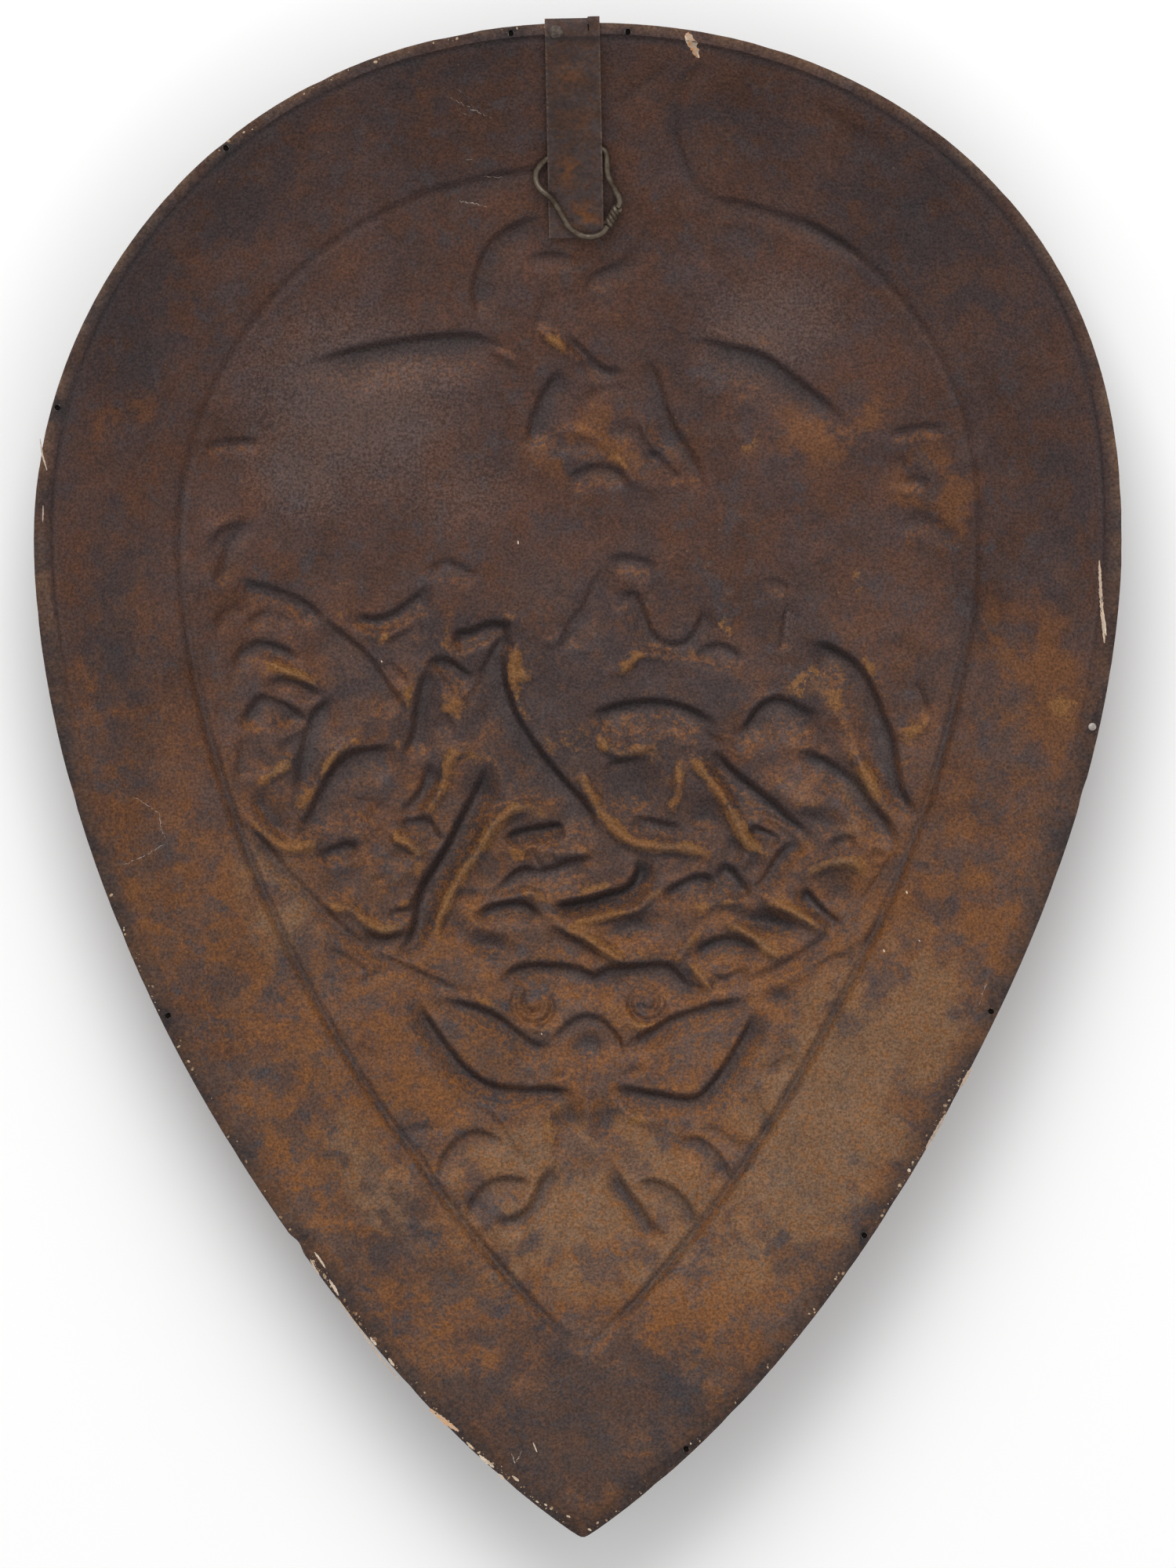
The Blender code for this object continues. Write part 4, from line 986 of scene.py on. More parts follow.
class Groups:
    """Shader node groups that several finishes share, each made once."""

    made: dict = {}

    @classmethod
    def get(cls, name: str) -> NodeTree:
        """A group by the name of its method, made when it is first asked for."""
        if name not in cls.made:
            cls.made[name] = getattr(cls, name)()
        return cls.made[name]

    @staticmethod
    def start(name: str, *numbers: str) -> tuple:
        """Make a group without an output yet.

        Args:
            name: The group's name.
            numbers: Names of its number inputs, which come after its place.

        Returns:
            The group's sketch, and the sockets that its inputs come in by.
        """
        sketch = Sketch(bpy.data.node_groups.new(name, "ShaderNodeTree"))
        sockets = sketch.tree.interface
        sockets.new_socket("Place", in_out="INPUT", socket_type="NodeSocketVector")
        for label in numbers:
            sockets.new_socket(label, in_out="INPUT", socket_type="NodeSocketFloat")
        return sketch, sketch.add("NodeGroupInput").outputs

    @staticmethod
    def end(sketch: Sketch, value: NodeSocket) -> NodeTree:
        """Give a group its one output, a value."""
        sketch.tree.interface.new_socket("Value", in_out="OUTPUT", socket_type="NodeSocketFloat")
        sketch.add("NodeGroupOutput", {"Value": value})
        return sketch.tree

    @classmethod
    def mottle(cls) -> NodeTree:
        """Cloudy blots of one size, as a mask from 0 to 1."""
        sketch, given = cls.start("mottle", "Size", "Detail", "From", "To", "Warp", "Rough")
        more = {"Detail": given["Detail"], "Roughness": given["Rough"], "Distortion": given["Warp"]}
        cloud = sketch.noise(given["Place"], given["Size"], **more)
        return cls.end(sketch, sketch.ramp(cloud, given["From"], given["To"]))

    @classmethod
    def specks(cls) -> NodeTree:
        """Scattered round specks, as a mask from 0 to 1.

        Returns:
            The group.
        """
        sketch, given = cls.start("specks", "Spacing", "Radius", "Share")
        scale = sketch.math("DIVIDE", 1.0, given["Spacing"])
        cells = sketch.add("ShaderNodeTexVoronoi", {"Vector": given["Place"], "Scale": scale}).outputs
        inner = sketch.math("MULTIPLY", given["Radius"], 0.5)
        inputs = {"Value": cells["Distance"], "From Min": given["Radius"], "From Max": inner}
        dot = sketch.add("ShaderNodeMapRange", inputs).outputs[0]
        chance = sketch.add("ShaderNodeSeparateColor", {0: cells["Color"]}).outputs[0]
        return cls.end(sketch, sketch.math("MULTIPLY", dot, sketch.math("LESS_THAN", chance, given["Share"])))

    @classmethod
    def crust(cls) -> NodeTree:
        """Height of a rough, pitted skin, for a bump.

        Returns:
            The group.
        """
        sketch, given = cls.start("crust", "Grain", "Pit", "Pitting")
        grain = sketch.noise(given["Place"], given["Grain"], Detail=3.0, Roughness=0.6)
        pits = sketch.noise(given["Place"], given["Pit"], Detail=5.0, Roughness=0.65)
        pitted = sketch.math("MULTIPLY", sketch.ramp(pits, low=0.56, high=0.68), given["Pitting"])
        return cls.end(sketch, sketch.math("SUBTRACT", grain, pitted))


class Coat(Sketch):
    """A material, as layers of colour laid over each other from the ground up."""

    def __init__(self, name: str, ground: tuple, metallic: float, specular: float = 0.3) -> None:
        """Start a material.

        Args:
            name: The material's name.
            ground: Its lowest colour.
            metallic: How metallic it is, all over.
            specular: How strongly it shines where it isn't metallic.
        """
        self.material = bpy.data.materials.new(name)
        self.material.use_nodes = True
        super().__init__(self.material.node_tree)
        self.shader = self.tree.nodes["Principled BSDF"].inputs
        self.shader["Metallic"].default_value = metallic
        self.shader["Specular IOR Level"].default_value = specular
        self.colour = ground

    @cached_property
    def place(self) -> NodeSocket:
        """The place on the object, in metres."""
        return self.add("ShaderNodeTexCoord").outputs["Object"]

    def attribute(self, name: str) -> NodeSocket:
        """A number that the mesh carries at each corner."""
        return self.add("ShaderNodeAttribute", attribute_name=name).outputs["Fac"]

    def group(self, name: str, **numbers: float) -> NodeSocket:
        """The value of a shared group at each place.

        Args:
            name: The group.
            numbers: Its inputs, by name.

        Returns:
            Socket of the value.
        """
        node = self.add("ShaderNodeGroup", node_tree=Groups.get(name))
        for key, value in {"Place": self.place, **numbers}.items():
            self.feed(node.inputs[key], value)
        return node.outputs[0]

    def blots(
        self, size: float, detail: float, low: float, high: float, warp: float = 0.0, rough: float = 0.62
    ) -> NodeSocket:
        """Cloudy blots of one size, as a mask from 0 where the noise is low to 1 where it is high."""
        return self.group("mottle", Size=size, Detail=detail, From=low, To=high, Warp=warp, Rough=rough)

    def lay(self, tint: tuple, *masks: Number) -> None:
        """Lay a tint where all of some masks are strong.

        Args:
            tint: The colour.
            masks: Masks from 0 to 1, which are multiplied.
        """
        mask = masks[0]
        for other in masks[1:]:
            mask = self.math("MULTIPLY", mask, other, clamp=True)
        node = self.add("ShaderNodeMix", {0: mask}, data_type="RGBA")
        for key, colour in ((6, self.colour), (7, tint)):
            self.feed(node.inputs[key], (*colour, 1.0) if isinstance(colour, tuple) else colour)
        self.colour = node.outputs[2]

    def dim(self, value: Number) -> None:
        """Make the colour so far lighter or darker by a value."""
        self.colour = self.scaled(self.colour, value)

    def finish(self, roughness: Number, height: NodeSocket, bump: float) -> Material:
        """Feed the shader with the colour so far, a roughness and a bump.

        Args:
            roughness: Roughness, as a socket or a number.
            height: Height socket, from 0 to 1.
            bump: How high 1 of it is, in metres.

        Returns:
            The finished material.
        """
        relief = self.add("ShaderNodeBump", {"Height": height, "Distance": bump, "Strength": 1.0})
        feeds = {"Normal": relief.outputs[0], "Base Color": self.colour, "Roughness": roughness}
        for key, value in feeds.items():
            self.feed(self.shader[key], value)
        return self.material


class Stain(Enum):
    """What a stained patch of the plate is stained with."""

    RUST = "rust"
    LILAC = "lilac"
    SOOT = "soot"
    CLAY = "clay"
    MUD = "mud"


# Stained patches: X and Y of the middle, two half sizes, degrees of turn and strength
PATCHES = {
    Stain.LILAC: (
        (-96, 60, 62, 74, 70, 1.0), (82, 92, 48, 34, 20, 0.9), (-118, 30, 34, 46, 60, 0.8),
        (-50, 20, 46, 30, 10, 0.5), (90, -36, 4, 15, 0, 1.2), (-150, 195, 60, 26, 40, 0.5),
    ),
    Stain.SOOT: (
        (-190, 100, 50, 70, 30, 1.0), (-195, -30, 34, 90, 0, 0.8), (-140, 150, 60, 40, 40, 0.8),
        (150, 130, 90, 70, -40, 0.9), (60, 180, 80, 34, -20, 0.6), (205, 20, 26, 90, 0, 0.8),
        (-60, 195, 80, 26, 15, 0.7), (0, -70, 176, 84, 0, 1.0), (50, -120, 110, 70, 0, 0.9),
        (-110, -100, 56, 70, 0, 0.7), (0, -372, 112, 62, 0, 1.4), (-100, -320, 30, 110, -32, 0.9),
        (150, -150, 26, 44, 20, 0.5),
    ),
    Stain.RUST: (
        (12, 42, 56, 26, 0, 0.7), (108, 50, 50, 28, 20, 0.5), (150, 18, 30, 36, 0, 0.7),
        (-195, 50, 40, 14, 30, 0.4), (-204, -60, 20, 60, -10, 0.5), (190, -60, 40, 60, 20, 0.6),
        (176, -170, 18, 50, -26, 0.7), (-170, -150, 50, 90, 30, 0.5), (-130, -245, 40, 70, -30, 0.8),
        (140, -170, 70, 90, -26, 0.6), (-70, -240, 50, 50, 0, 0.5), (60, -330, 60, 26, 40, 0.3),
        (-90, -316, 20, 44, -20, 0.7),
    ),
    Stain.CLAY: (
        (110, -110, 40, 30, 30, 0.4), (106, -245, 54, 120, -30, 1.25), (5, -280, 96, 60, 0, 1.0),
        (-84, -272, 20, 56, 34, 0.9), (146, -206, 30, 50, -26, 0.9), (-124, -160, 24, 60, 26, 0.6),
    ),
    Stain.MUD: (
        (101, -61, 18, 12, 24, 0.9), (62, -35, 3.4, 9, 16, 1.0), (119, -17, 3, 8, 12, 0.8),
        (-135, -15, 4, 3, 0, 0.9), (70, 46, 9, 14, 20, 0.55), (206, -70, 10, 10, 0, 0.9),
    ),
}


@dataclass(frozen=True)
class BronzeFinish:
    """Dark maroon patina, flaking and rusty below, ochre on ridges, with painted bluish shade in the hollows.
    """

    crown: tuple = (0.064, 0.034, 0.028)
    point: tuple = (0.126, 0.065, 0.037)
    russet: tuple = (0.092, 0.038, 0.021)
    ember: tuple = (0.104, 0.043, 0.022)
    bloom: tuple = (0.056, 0.044, 0.045)
    rust: tuple = (0.205, 0.078, 0.020)
    ochre: tuple = (0.205, 0.104, 0.036)
    lilac: tuple = (0.108, 0.074, 0.067)
    # Soot of the stains and specks, also laid as painted shade on walls and in the rim groove
    soot: tuple = (0.037, 0.030, 0.032)
    slate: tuple = (0.048, 0.045, 0.049)
    rim: tuple = (0.024, 0.019, 0.020)
    clay: tuple = (0.190, 0.110, 0.061)
    mud: tuple = (0.225, 0.105, 0.036)
    shade: tuple = (0.046, 0.036, 0.036)
    metallic: float = 0.30
    specular: float = 0.22
    bump: float = 0.00020

    def stain(self, coat: Coat, stain: Stain, noise: NodeSocket, ragged: float, most: float) -> None:
        """Lay a stain, with its border made ragged by some noise.

        Args:
            coat: The plate's coat.
            stain: Which stain, found on the plate and in this finish by its name.
            noise: Socket of a mask from 0 to 1.
            ragged: How far the noise moves the stain's border.
            most: The stain's greatest strength.
        """
        spot = coat.attribute(stain.value)
        fray = coat.between(noise, -ragged / 2, ragged / 2)
        frayed = coat.math("MULTIPLY", fray, coat.ramp(spot, low=0.0, high=0.4))
        strength = coat.ramp(coat.math("ADD", spot, frayed), 0.05, 0.95, most)
        coat.lay(getattr(self, stain.value), strength)

    def material(self) -> Material:
        """Build the material of the plate.

        Returns:
            A material that reads the plate's own attributes.
        """
        coat = Coat("bronze_patina", self.crown, self.metallic, self.specular)
        lay, between, attribute = coat.lay, coat.between, coat.attribute
        cloud = coat.blots(0.060, 7.0, 0.30, 0.70, 0.4)
        blot = coat.blots(0.016, 8.0, 0.36, 0.68, 0.5)
        grain = coat.blots(0.0011, 3.0, 0.25, 0.75)
        tint = coat.blots(0.019, 9.0, 0.40, 0.60, rough=0.66)
        crumb = coat.blots(0.0026, 6.0, 0.46, 0.60)
        field = coat.blots(0.034, 6.0, 0.44, 0.66, 0.8)
        flake = coat.blots(0.012, 12.0, 0.50, 0.55, rough=0.68)
        chip = coat.blots(0.011, 12.0, 0.53, 0.60, rough=0.68)
        fall = attribute("fall")
        low, mixed = between(fall, 0.06, 0.95), between(fall, 0.60, 1.0)

        # Partly patina and partly painted light: the ground runs from the dark crown to the lighter point
        lay(self.point, fall)
        coat.dim(between(coat.math("ADD", cloud, coat.math("MULTIPLY", blot, 0.8)), 0.60, 1.10))
        lay(self.russet, field, between(fall, 0.45, 0.55))
        lay(self.bloom, chip, between(cloud, 0.80, 0.25))
        lay(self.bloom, between(tint, 0.45, -0.15), mixed)
        lay(self.ember, between(tint, -0.20, 0.40), mixed)
        self.stain(coat, Stain.LILAC, grain, 0.5, 0.62)
        lay(self.rust, flake, low, between(cloud, 0.25, 0.75))
        self.stain(coat, Stain.RUST, tint, 0.9, 0.36)
        lay(self.slate, chip, low, between(cloud, 0.70, 0.15))
        self.stain(coat, Stain.CLAY, tint, 0.9, 0.66)
        lay(self.rust, crumb, low, between(tint, 0.12, 0.62))
        self.stain(coat, Stain.SOOT, blot, 1.0, 0.66)

        # Painted shade: bluish dark colour in the hollows of the carving
        lay(self.shade, attribute("hollow"), between(cloud, 0.50, 1.0))
        ridge = coat.math("MULTIPLY", attribute("ridge"), between(blot, 0.45, 1.0))
        frayed = coat.math("ADD", between(crumb, -0.07, 0.07), between(tint, -0.20, 0.20))
        worn = coat.ramp(coat.math("ADD", ridge, frayed), 0.20, 0.62)
        # Partly rust and partly painted light: rust colour on walls of the carving that face the lamp
        lay(self.rust, attribute("lip"), between(crumb, 0.05, 0.50))
        lay(self.rust, worn, between(tint, 0.20, 0.65))
        lay(self.ochre, worn, between(flake, 0.30, 0.62))
        lay(self.clay, worn, coat.ramp(ridge, 0.60, 0.95), between(tint, 0.4, 0.1))
        # Painted shade: dark colour on the walls of the carving that face away from the lamp
        lay(self.soot, attribute("eave"), between(blot, 0.70, 0.45))
        # Painted shade: darker along the groove just inside the rim
        lay(self.soot, attribute("crease"), 0.65)
        lay(self.rim, attribute("edge"), between(blot, 0.95, 0.60))
        lay(self.clay, attribute("bead"), between(blot, 0.05, 0.55))
        self.stain(coat, Stain.MUD, flake, 0.9, 0.75)
        coat.dim(between(grain, 0.56, 1.40))
        lay(self.clay, coat.group("specks", Spacing=0.0046, Radius=0.13, Share=0.07), 0.5)
        lay(self.soot, coat.group("specks", Spacing=0.0037, Radius=0.2, Share=0.12), 0.45)
        height = coat.group("crust", Grain=0.0009, Pit=0.006, Pitting=0.8)
        return coat.finish(between(blot, 0.50, 0.68), height, self.bump)


@dataclass(frozen=True)
class IronFinish:
    """Dull brown iron with purple-grey bloom and blots of rust, and painted shade where it bends."""

    brown: tuple = (0.055, 0.031, 0.025)
    bloom: tuple = (0.070, 0.050, 0.048)
    rust: tuple = (0.150, 0.058, 0.020)
    dark: tuple = (0.026, 0.021, 0.021)
    pale: tuple = (0.26, 0.20, 0.15)
    metallic: float = 0.35
    bump: float = 0.00016

    def material(self) -> Material:
        """Build the material of the strap.

        Returns:
            A material that reads the strap's own attributes.
        """
        coat = Coat("rusted_iron", self.brown, self.metallic)
        lay, between = coat.lay, coat.between
        cloud = coat.blots(0.019, 6.0, 0.38, 0.62, 0.6)
        blot = coat.blots(0.007, 10.0, 0.40, 0.60)
        grain = coat.blots(0.0016, 4.0, 0.25, 0.75)
        pepper = coat.blots(0.0030, 7.0, 0.48, 0.60)
        lay(self.bloom, cloud, between(pepper, 0.95, 0.35))
        lay(self.dark, between(blot, 0.55, 0.0), between(cloud, 0.90, 0.30))
        lay(self.rust, blot, coat.attribute("rust"))
        lay(self.rust, pepper, 0.16)
        # Painted shade: dark band where the strap bends down off the rim
        lay(self.dark, coat.attribute("crease"), 0.8)
        lay(self.pale, coat.attribute("worn"), between(grain, 0.1, 0.7))
        coat.dim(between(grain, 0.70, 1.30))
        lay(self.dark, coat.group("specks", Spacing=0.0028, Radius=0.2, Share=0.12), 0.55)
        height = coat.group("crust", Grain=0.0008, Pit=0.003, Pitting=0.7)
        return coat.finish(between(blot, 0.48, 0.70), height, self.bump)


@dataclass(frozen=True)
class MetalFinish:
    """A plain old metal with a blotchy tint: the wire, the nail or the solder."""

    name: str
    clean: tuple
    stain: tuple
    metallic: float
    roughness: float
    blot_size: float = 0.004
    bump: float = 0.00008
    specular: float = 0.3
    unevenness: float = 0.08

    def material(self) -> Material:
        """Build the material.

        Returns:
            A material that needs no attributes.
        """
        coat = Coat(self.name, self.clean, self.metallic, self.specular)
        blot = coat.blots(self.blot_size, 6.0, 0.38, 0.64)
        coat.lay(self.stain, blot)
        coat.dim(coat.between(coat.blots(self.blot_size / 5, 3.0, 0.2, 0.8), 0.75, 1.25))
        roughness = coat.between(blot, self.roughness - self.unevenness, self.roughness + self.unevenness)
        return coat.finish(roughness, coat.group("crust", Grain=0.0005, Pit=0.002, Pitting=0.5), self.bump)


WIRE = MetalFinish(
    "grey_wire", clean=(0.128, 0.100, 0.074), stain=(0.056, 0.038, 0.025),
    metallic=0.45, roughness=0.42, blot_size=0.008,
)
# Near-black plugs in the rim's holes: painted shadow for the dark seen through the holes
HOLE_SHADOW = MetalFinish(
    "hole_dirt", clean=(0.006, 0.005, 0.004), stain=(0.012, 0.009, 0.007),
    metallic=0.0, roughness=0.9, specular=0.0,
)
CRUMBS = MetalFinish(
    "rim_crumbs", clean=(0.46, 0.34, 0.23), stain=(0.17, 0.085, 0.040),
    metallic=0.0, roughness=0.9, blot_size=0.003,
)
SOLDER = MetalFinish(
    "old_solder", clean=(0.056, 0.041, 0.035), stain=(0.125, 0.098, 0.080),
    metallic=0.3, roughness=0.75, blot_size=0.0022, bump=0.0002,
)
NAIL = MetalFinish(
    "pale_nail", clean=(0.52, 0.47, 0.43), stain=(0.30, 0.26, 0.23), metallic=0.5, roughness=0.5,
)


@dataclass(frozen=True)
class ShieldPlate:
    """The dished and embossed plate, from its worn rim to its carving."""

    outline: Outline
    relief: Relief
    dish_depth: float = 0.0460
    dish_fullness: float = 1.4
    wall: float = 0.0020
    steepest_wall: float = 1.8
    rays: int = 1120
    rings: int = 330
    quick_share: float = 0.6
    triangles: int = 192000
    level_reach: float = 0.0002
    hole_diameter: float = 0.0026
    holes: tuple = (
        (0.0102, 0.0034), (0.3309, 0.0030), (0.3953, 0.0028), (0.4645, 0.0026),
        (0.6661, 0.0034), (0.8239, 0.0024), (0.9027, 0.0024), (0.9812, 0.0028),
    )
    nail_place: tuple = (0.2554, 0.0030)
    plug_share: float = 0.97
    plug_drop: float = 0.6
    rod_sides: int = 16
    drill_walls: int = 4
    groove_depth: float = 0.0007
    groove_width: float = 0.0028
    groove_fade: float = 0.75
    groove_sides: tuple = (60.0, 200.0)
    wave_size: float = 0.050
    wave_depth: float = 0.0013
    ripple_size: float = 0.014
    ripple_depth: float = 0.00026
    wave_start: float = 0.020
    wave_lag: float = 0.1
    front_softness: float = 3.4
    front_step: int = 3
    thinnest: float = 0.45
    ridge_size: float = 1.2
    form_size: float = 9.0
    edge_wear: float = 0.0004
    wear_size: float = 0.020
    dark_edge: float = 0.0092
    dark_edge_least: float = 0.25
    edge_contrast: float = 3.0
    hole_halo: float = 2.0
    pale_bead: float = 0.0016
    bead_fade: float = 0.75
    crease_fade: float = 0.85
    sides: tuple = (60.0, 160.0)
    # Span over which rust and the painted lighter ground grow towards the point
    rust_and_light_span: tuple = (30.0, 330.0)
    # How far up rust and painted light go on walls that face the lamp
    rust_and_light_lips: tuple = (120.0, 30.0)
    ridge: tuple = (0.308, 2.2)
    hollow: tuple = (0.19, 1.9)
    # Rust and painted light: how steeply a wall must face the lamp
    lip: tuple = (0.06, 0.30)
    # Painted shade: how steeply a wall must face away from the lamp
    eave: tuple = (0.11, 0.55)

    def dish(self, points: Array, inside: Array) -> Array:
        """Depth of the plain dish below the rim.

        Args:
            points: Rows of X and Y.
            inside: The line where the rim ends, clockwise from the crown.

        Returns:
            One depth for each point.
        """
        bottom = inside[:, 1].argmin()
        right = inside[: bottom + 1][::-1]
        left = np.concatenate([inside[bottom:], inside[:1]])
        right_x = np.interp(points[:, 1], right[:, 1], right[:, 0])
        left_x = np.interp(points[:, 1], left[:, 1], left[:, 0])
        room = (points[:, 0] - left_x) * (right_x - points[:, 0]) / self.outline.half_width**2
        return self.dish_depth * (1.0 - (1.0 - np.clip(room, 0.0, 1.0)) ** self.dish_fullness)

    def edge_distance(self, points: Array) -> Array:
        """Distance of each point from the outline.

        Args:
            points: Rows of X and Y.

        Returns:
            One distance for each point.
        """
        edge = self.outline.points(FINE_EDGE)
        tree = KDTree(len(edge))
        for index, (x, y) in enumerate(edge):
            tree.insert((x, y, 0.0), index)
        tree.balance()
        return np.array([tree.find((x, y, 0.0))[2] for x, y in points])

    def carving(self) -> Field:
        """Depth of the carving over the whole plate.

        Returns:
            The depth, in parts.
        """
        step = self.relief.edge_step
        places = Field.places(step)
        distance = self.edge_distance(places.reshape(-1, 2) * PART + [0.0, WIDEST_Y]) / PART
        return self.relief.field(Field(distance.reshape(places.shape[:2]), step))

    def hammered(self, points: Array) -> Array:
        """Uneven hand-worked waves of the sheet."""
        return rough_noise(points, self.wave_size, 11) * self.wave_depth

    def surface(self, carving: Field) -> tuple:
        """Points of both faces of the plate.

        Args:
            carving: Depth of the carving.

        Returns:
            Rows of X and Y, ring by ring from the outline inwards with the centre last, the
            height of each on the back and on the softer front, and the number of rays.
        """
        share = 1.0
        rays, rings = round(self.rays * share / 4) * 4, round(self.rings * share)
        edge = self.outline.points(rays)
        inside = self.outline.rim_inside(edge)
        worn = self.edge_wear * np.clip(rough_noise(edge, self.wear_size, 5), 0.0, 1.0) ** 2
        worn_edge = edge + self.outline.inward(edge) * worn[:, None]
        rim = [worn_edge, (worn_edge + inside) / 2]
        shares = np.linspace(1.0, 0.0, rings)[:-1]
        flat = np.concatenate(rim + [inside * share for share in shares] + [np.zeros((1, 2))])
        field_points = flat[2 * rays :]
        distance = self.edge_distance(field_points)
        inner = distance - self.outline.rim_width(field_points)
        parts = (field_points - [0.0, WIDEST_Y]) / PART
        plain = self.dish(field_points, inside)
        plain += self.hammered(field_points) * smooth(inner / self.wave_start - self.wave_lag)
        ripple = rough_noise(field_points, self.ripple_size, 23) * self.ripple_depth
        groove = smooth(1.0 - np.abs(inner - self.groove_width / 2) / (self.groove_width / 2))
        back, front = np.zeros(len(flat)), np.zeros(len(flat))
        groove *= 1.0 - self.groove_fade * below(parts, *self.groove_sides)
        back[2 * rays :] = plain + carving.at(parts) * PART + self.groove_depth * groove
        back[2 * rays :] += ripple * smooth(inner / self.wave_start)
        front[2 * rays :] = plain + carving.blurred(self.front_softness).at(parts) * PART
        return flat, RIM_TOP - back, RIM_TOP - front, rays

    def closed_sheet(self, carving: Field) -> Object:
        """The plate as one closed body, before it is thinned and drilled.

        Args:
            carving: Depth of the carving.

        Returns:
            The plate.
        """
        flat, height, front_height, rays = self.surface(carving)
        count = len(flat)
        rings = (count - 1) // rays
        back = np.column_stack([flat, height])
        back_faces = ring_faces(rays, rings)[:, ::-1].tolist()
        back_faces += fan(rays, (rings - 1) * rays, count - 1)[:, [1, 0, 2]].tolist()
        probe = plain_mesh("back_probe", back, back_faces)
        upright = np.empty(count * 3)
        probe.data.vertices.foreach_get("normal", upright)
        upright = np.abs(upright.reshape(-1, 3)[:, 2])
        bpy.data.meshes.remove(probe.data)
        wall = self.wall / np.clip(upright, 1.0 / self.steepest_wall, 1.0)
        wall[: 3 * rays] = self.wall
        lower = np.minimum(front_height - wall, height - wall * self.thinnest)
        kept = np.array([0, 1, 2, *range(2 + self.front_step, rings, self.front_step)])
        chosen = np.append((kept[:, None] * rays + np.arange(rays)).ravel(), count - 1)
        front = np.column_stack([flat, np.maximum(lower, 0.0)])[chosen]
        front_faces = ring_faces(rays, len(kept), count).tolist()
        front_faces += fan(rays, (len(kept) - 1) * rays + count, count + len(front) - 1).tolist()
        rim_faces = (ring_faces(rays, 2) + [0, 0, count - rays, count - rays]).tolist()
        points, faces = np.concatenate([back, front]), back_faces + front_faces + rim_faces
        return plain_mesh("shield_plate_dressed", points, faces)

    def rods(
        self, name: str, places: tuple, sizes: dict, drop: float, material: Material | None = None
    ) -> Object:
        """Upright rods in the rim, made by Geometry Nodes on one point each.

        Args:
            name: Name of the object and its tree.
            places: Places on the rim.
            sizes: Diameter and depth of a rod.
            drop: How far the rods' middles lie below the rim's back face.
            material: What they are made of, or None for a tool.

        Returns:
            The rods as one mesh.
        """
        spots = [(*self.outline.rim_point(*place), RIM_TOP - drop) for place in places]
        recipe = Recipe(name, sizes)
        given = recipe.given
        radius = recipe.math("MULTIPLY", given["Diameter"], 0.5)
        rod_inputs = {"Vertices": self.rod_sides, "Radius": radius, "Depth": given["Depth"]}
        rod = recipe.add("GeometryNodeMeshCylinder", rod_inputs)
        links = {"Points": given["Geometry"], "Instance": rod.outputs["Mesh"]}
        shape = recipe.add("GeometryNodeInstanceOnPoints", links).outputs[0]
        return recipe.cast(plain_mesh(name, spots, []), shape, material)

    def hole_dirt(self, material: Material) -> None:
        """Plug the holes of the rim with near-black discs: painted shadow for the dark seen through them.

        Args:
            material: The near-black painted shadow.
        """
        sizes = {"Diameter": self.hole_diameter * self.plug_share, "Depth": self.wall / 2}
        # Painted shadow: near-black discs sunk into the holes
        shadow_plug = self.rods("rim_hole_dirt", self.holes, sizes, self.wall * self.plug_drop, material)
        dress(shadow_plug, material, "bronze", sharp=40.0)

    def build(self, finish: BronzeFinish) -> Object:
        """Make the plate and dress it.

        Args:
            finish: The patina.

        Returns:
            The finished plate.
        """
        carving = self.carving()
        plate = self.closed_sheet(carving)
        thin = plate.modifiers.new("thin", "DECIMATE")
        thin.ratio = self.triangles / (2 * len(plate.data.polygons))
        settled(plate)
        points = corners(plate)
        for level in (0.0, RIM_TOP - self.wall, RIM_TOP):
            points[np.abs(points[:, 2] - level) < self.level_reach, 2] = level
        points[:, 1] = np.maximum(points[:, 1], WIDEST_Y - POINT_DROP)
        set_corners(plate, points)
        sizes = {"Diameter": self.hole_diameter, "Depth": self.wall * self.drill_walls}
        pins = self.rods("rim_hole_pins", (*self.holes, self.nail_place), sizes, self.wall / 2)
        drill = plate.modifiers.new("holes", "BOOLEAN")
        drill.operation = "DIFFERENCE"
        drill.solver = "MANIFOLD"
        drill.object = pins
        settled(plate)
        bpy.data.objects.remove(pins)
        plate.data.name = plate.name
        self.paint_stains(plate, carving)
        dress(plate, finish.material(), "bronze", "shield_plate")
        return plate

    def paint_stains(self, plate: Object, carving: Field) -> None:
        """Store where the plate is rusty, sooty or worn, and where painted shade and painted light go, for
        its finish to read.

        Args:
            plate: The plate.
            carving: Depth of the carving.
        """
        points = corners(plate)
        flat = points[:, :2]
        parts = (flat - [0.0, WIDEST_Y]) / PART
        soft = carving.blurred(self.ridge_size)
        above = Field(soft.values - carving.blurred(self.form_size).values, carving.step)
        stands = above.at(parts)
        north = soft.climb().at(parts)
        distance = self.edge_distance(flat)
        off_groove = np.abs(distance - self.outline.rim_width(flat) - self.groove_width / 2)
        side = below(parts, *self.sides)
        edge = smooth(self.edge_contrast - self.edge_contrast * distance / self.dark_edge)
        edge *= self.dark_edge_least + (1.0 - self.dark_edge_least) * side
        for place in self.holes:
            gap = np.hypot(*(flat - self.outline.rim_point(*place)).T)
            edge = np.maximum(edge, smooth(self.hole_halo - gap / self.hole_diameter))
        bead = smooth(1.0 - distance / self.pale_bead)
        # Painted shade along the groove just inside the rim, weaker on the sides
        crease = smooth(1.0 - off_groove / self.groove_width)
        paint(plate, "edge", edge)
        paint(plate, "bead", bead * (1.0 - self.bead_fade * side))
        paint(plate, "crease", crease * (1.0 - self.crease_fade * side))
        paint(plate, "ridge", eased(-stands, *self.ridge))
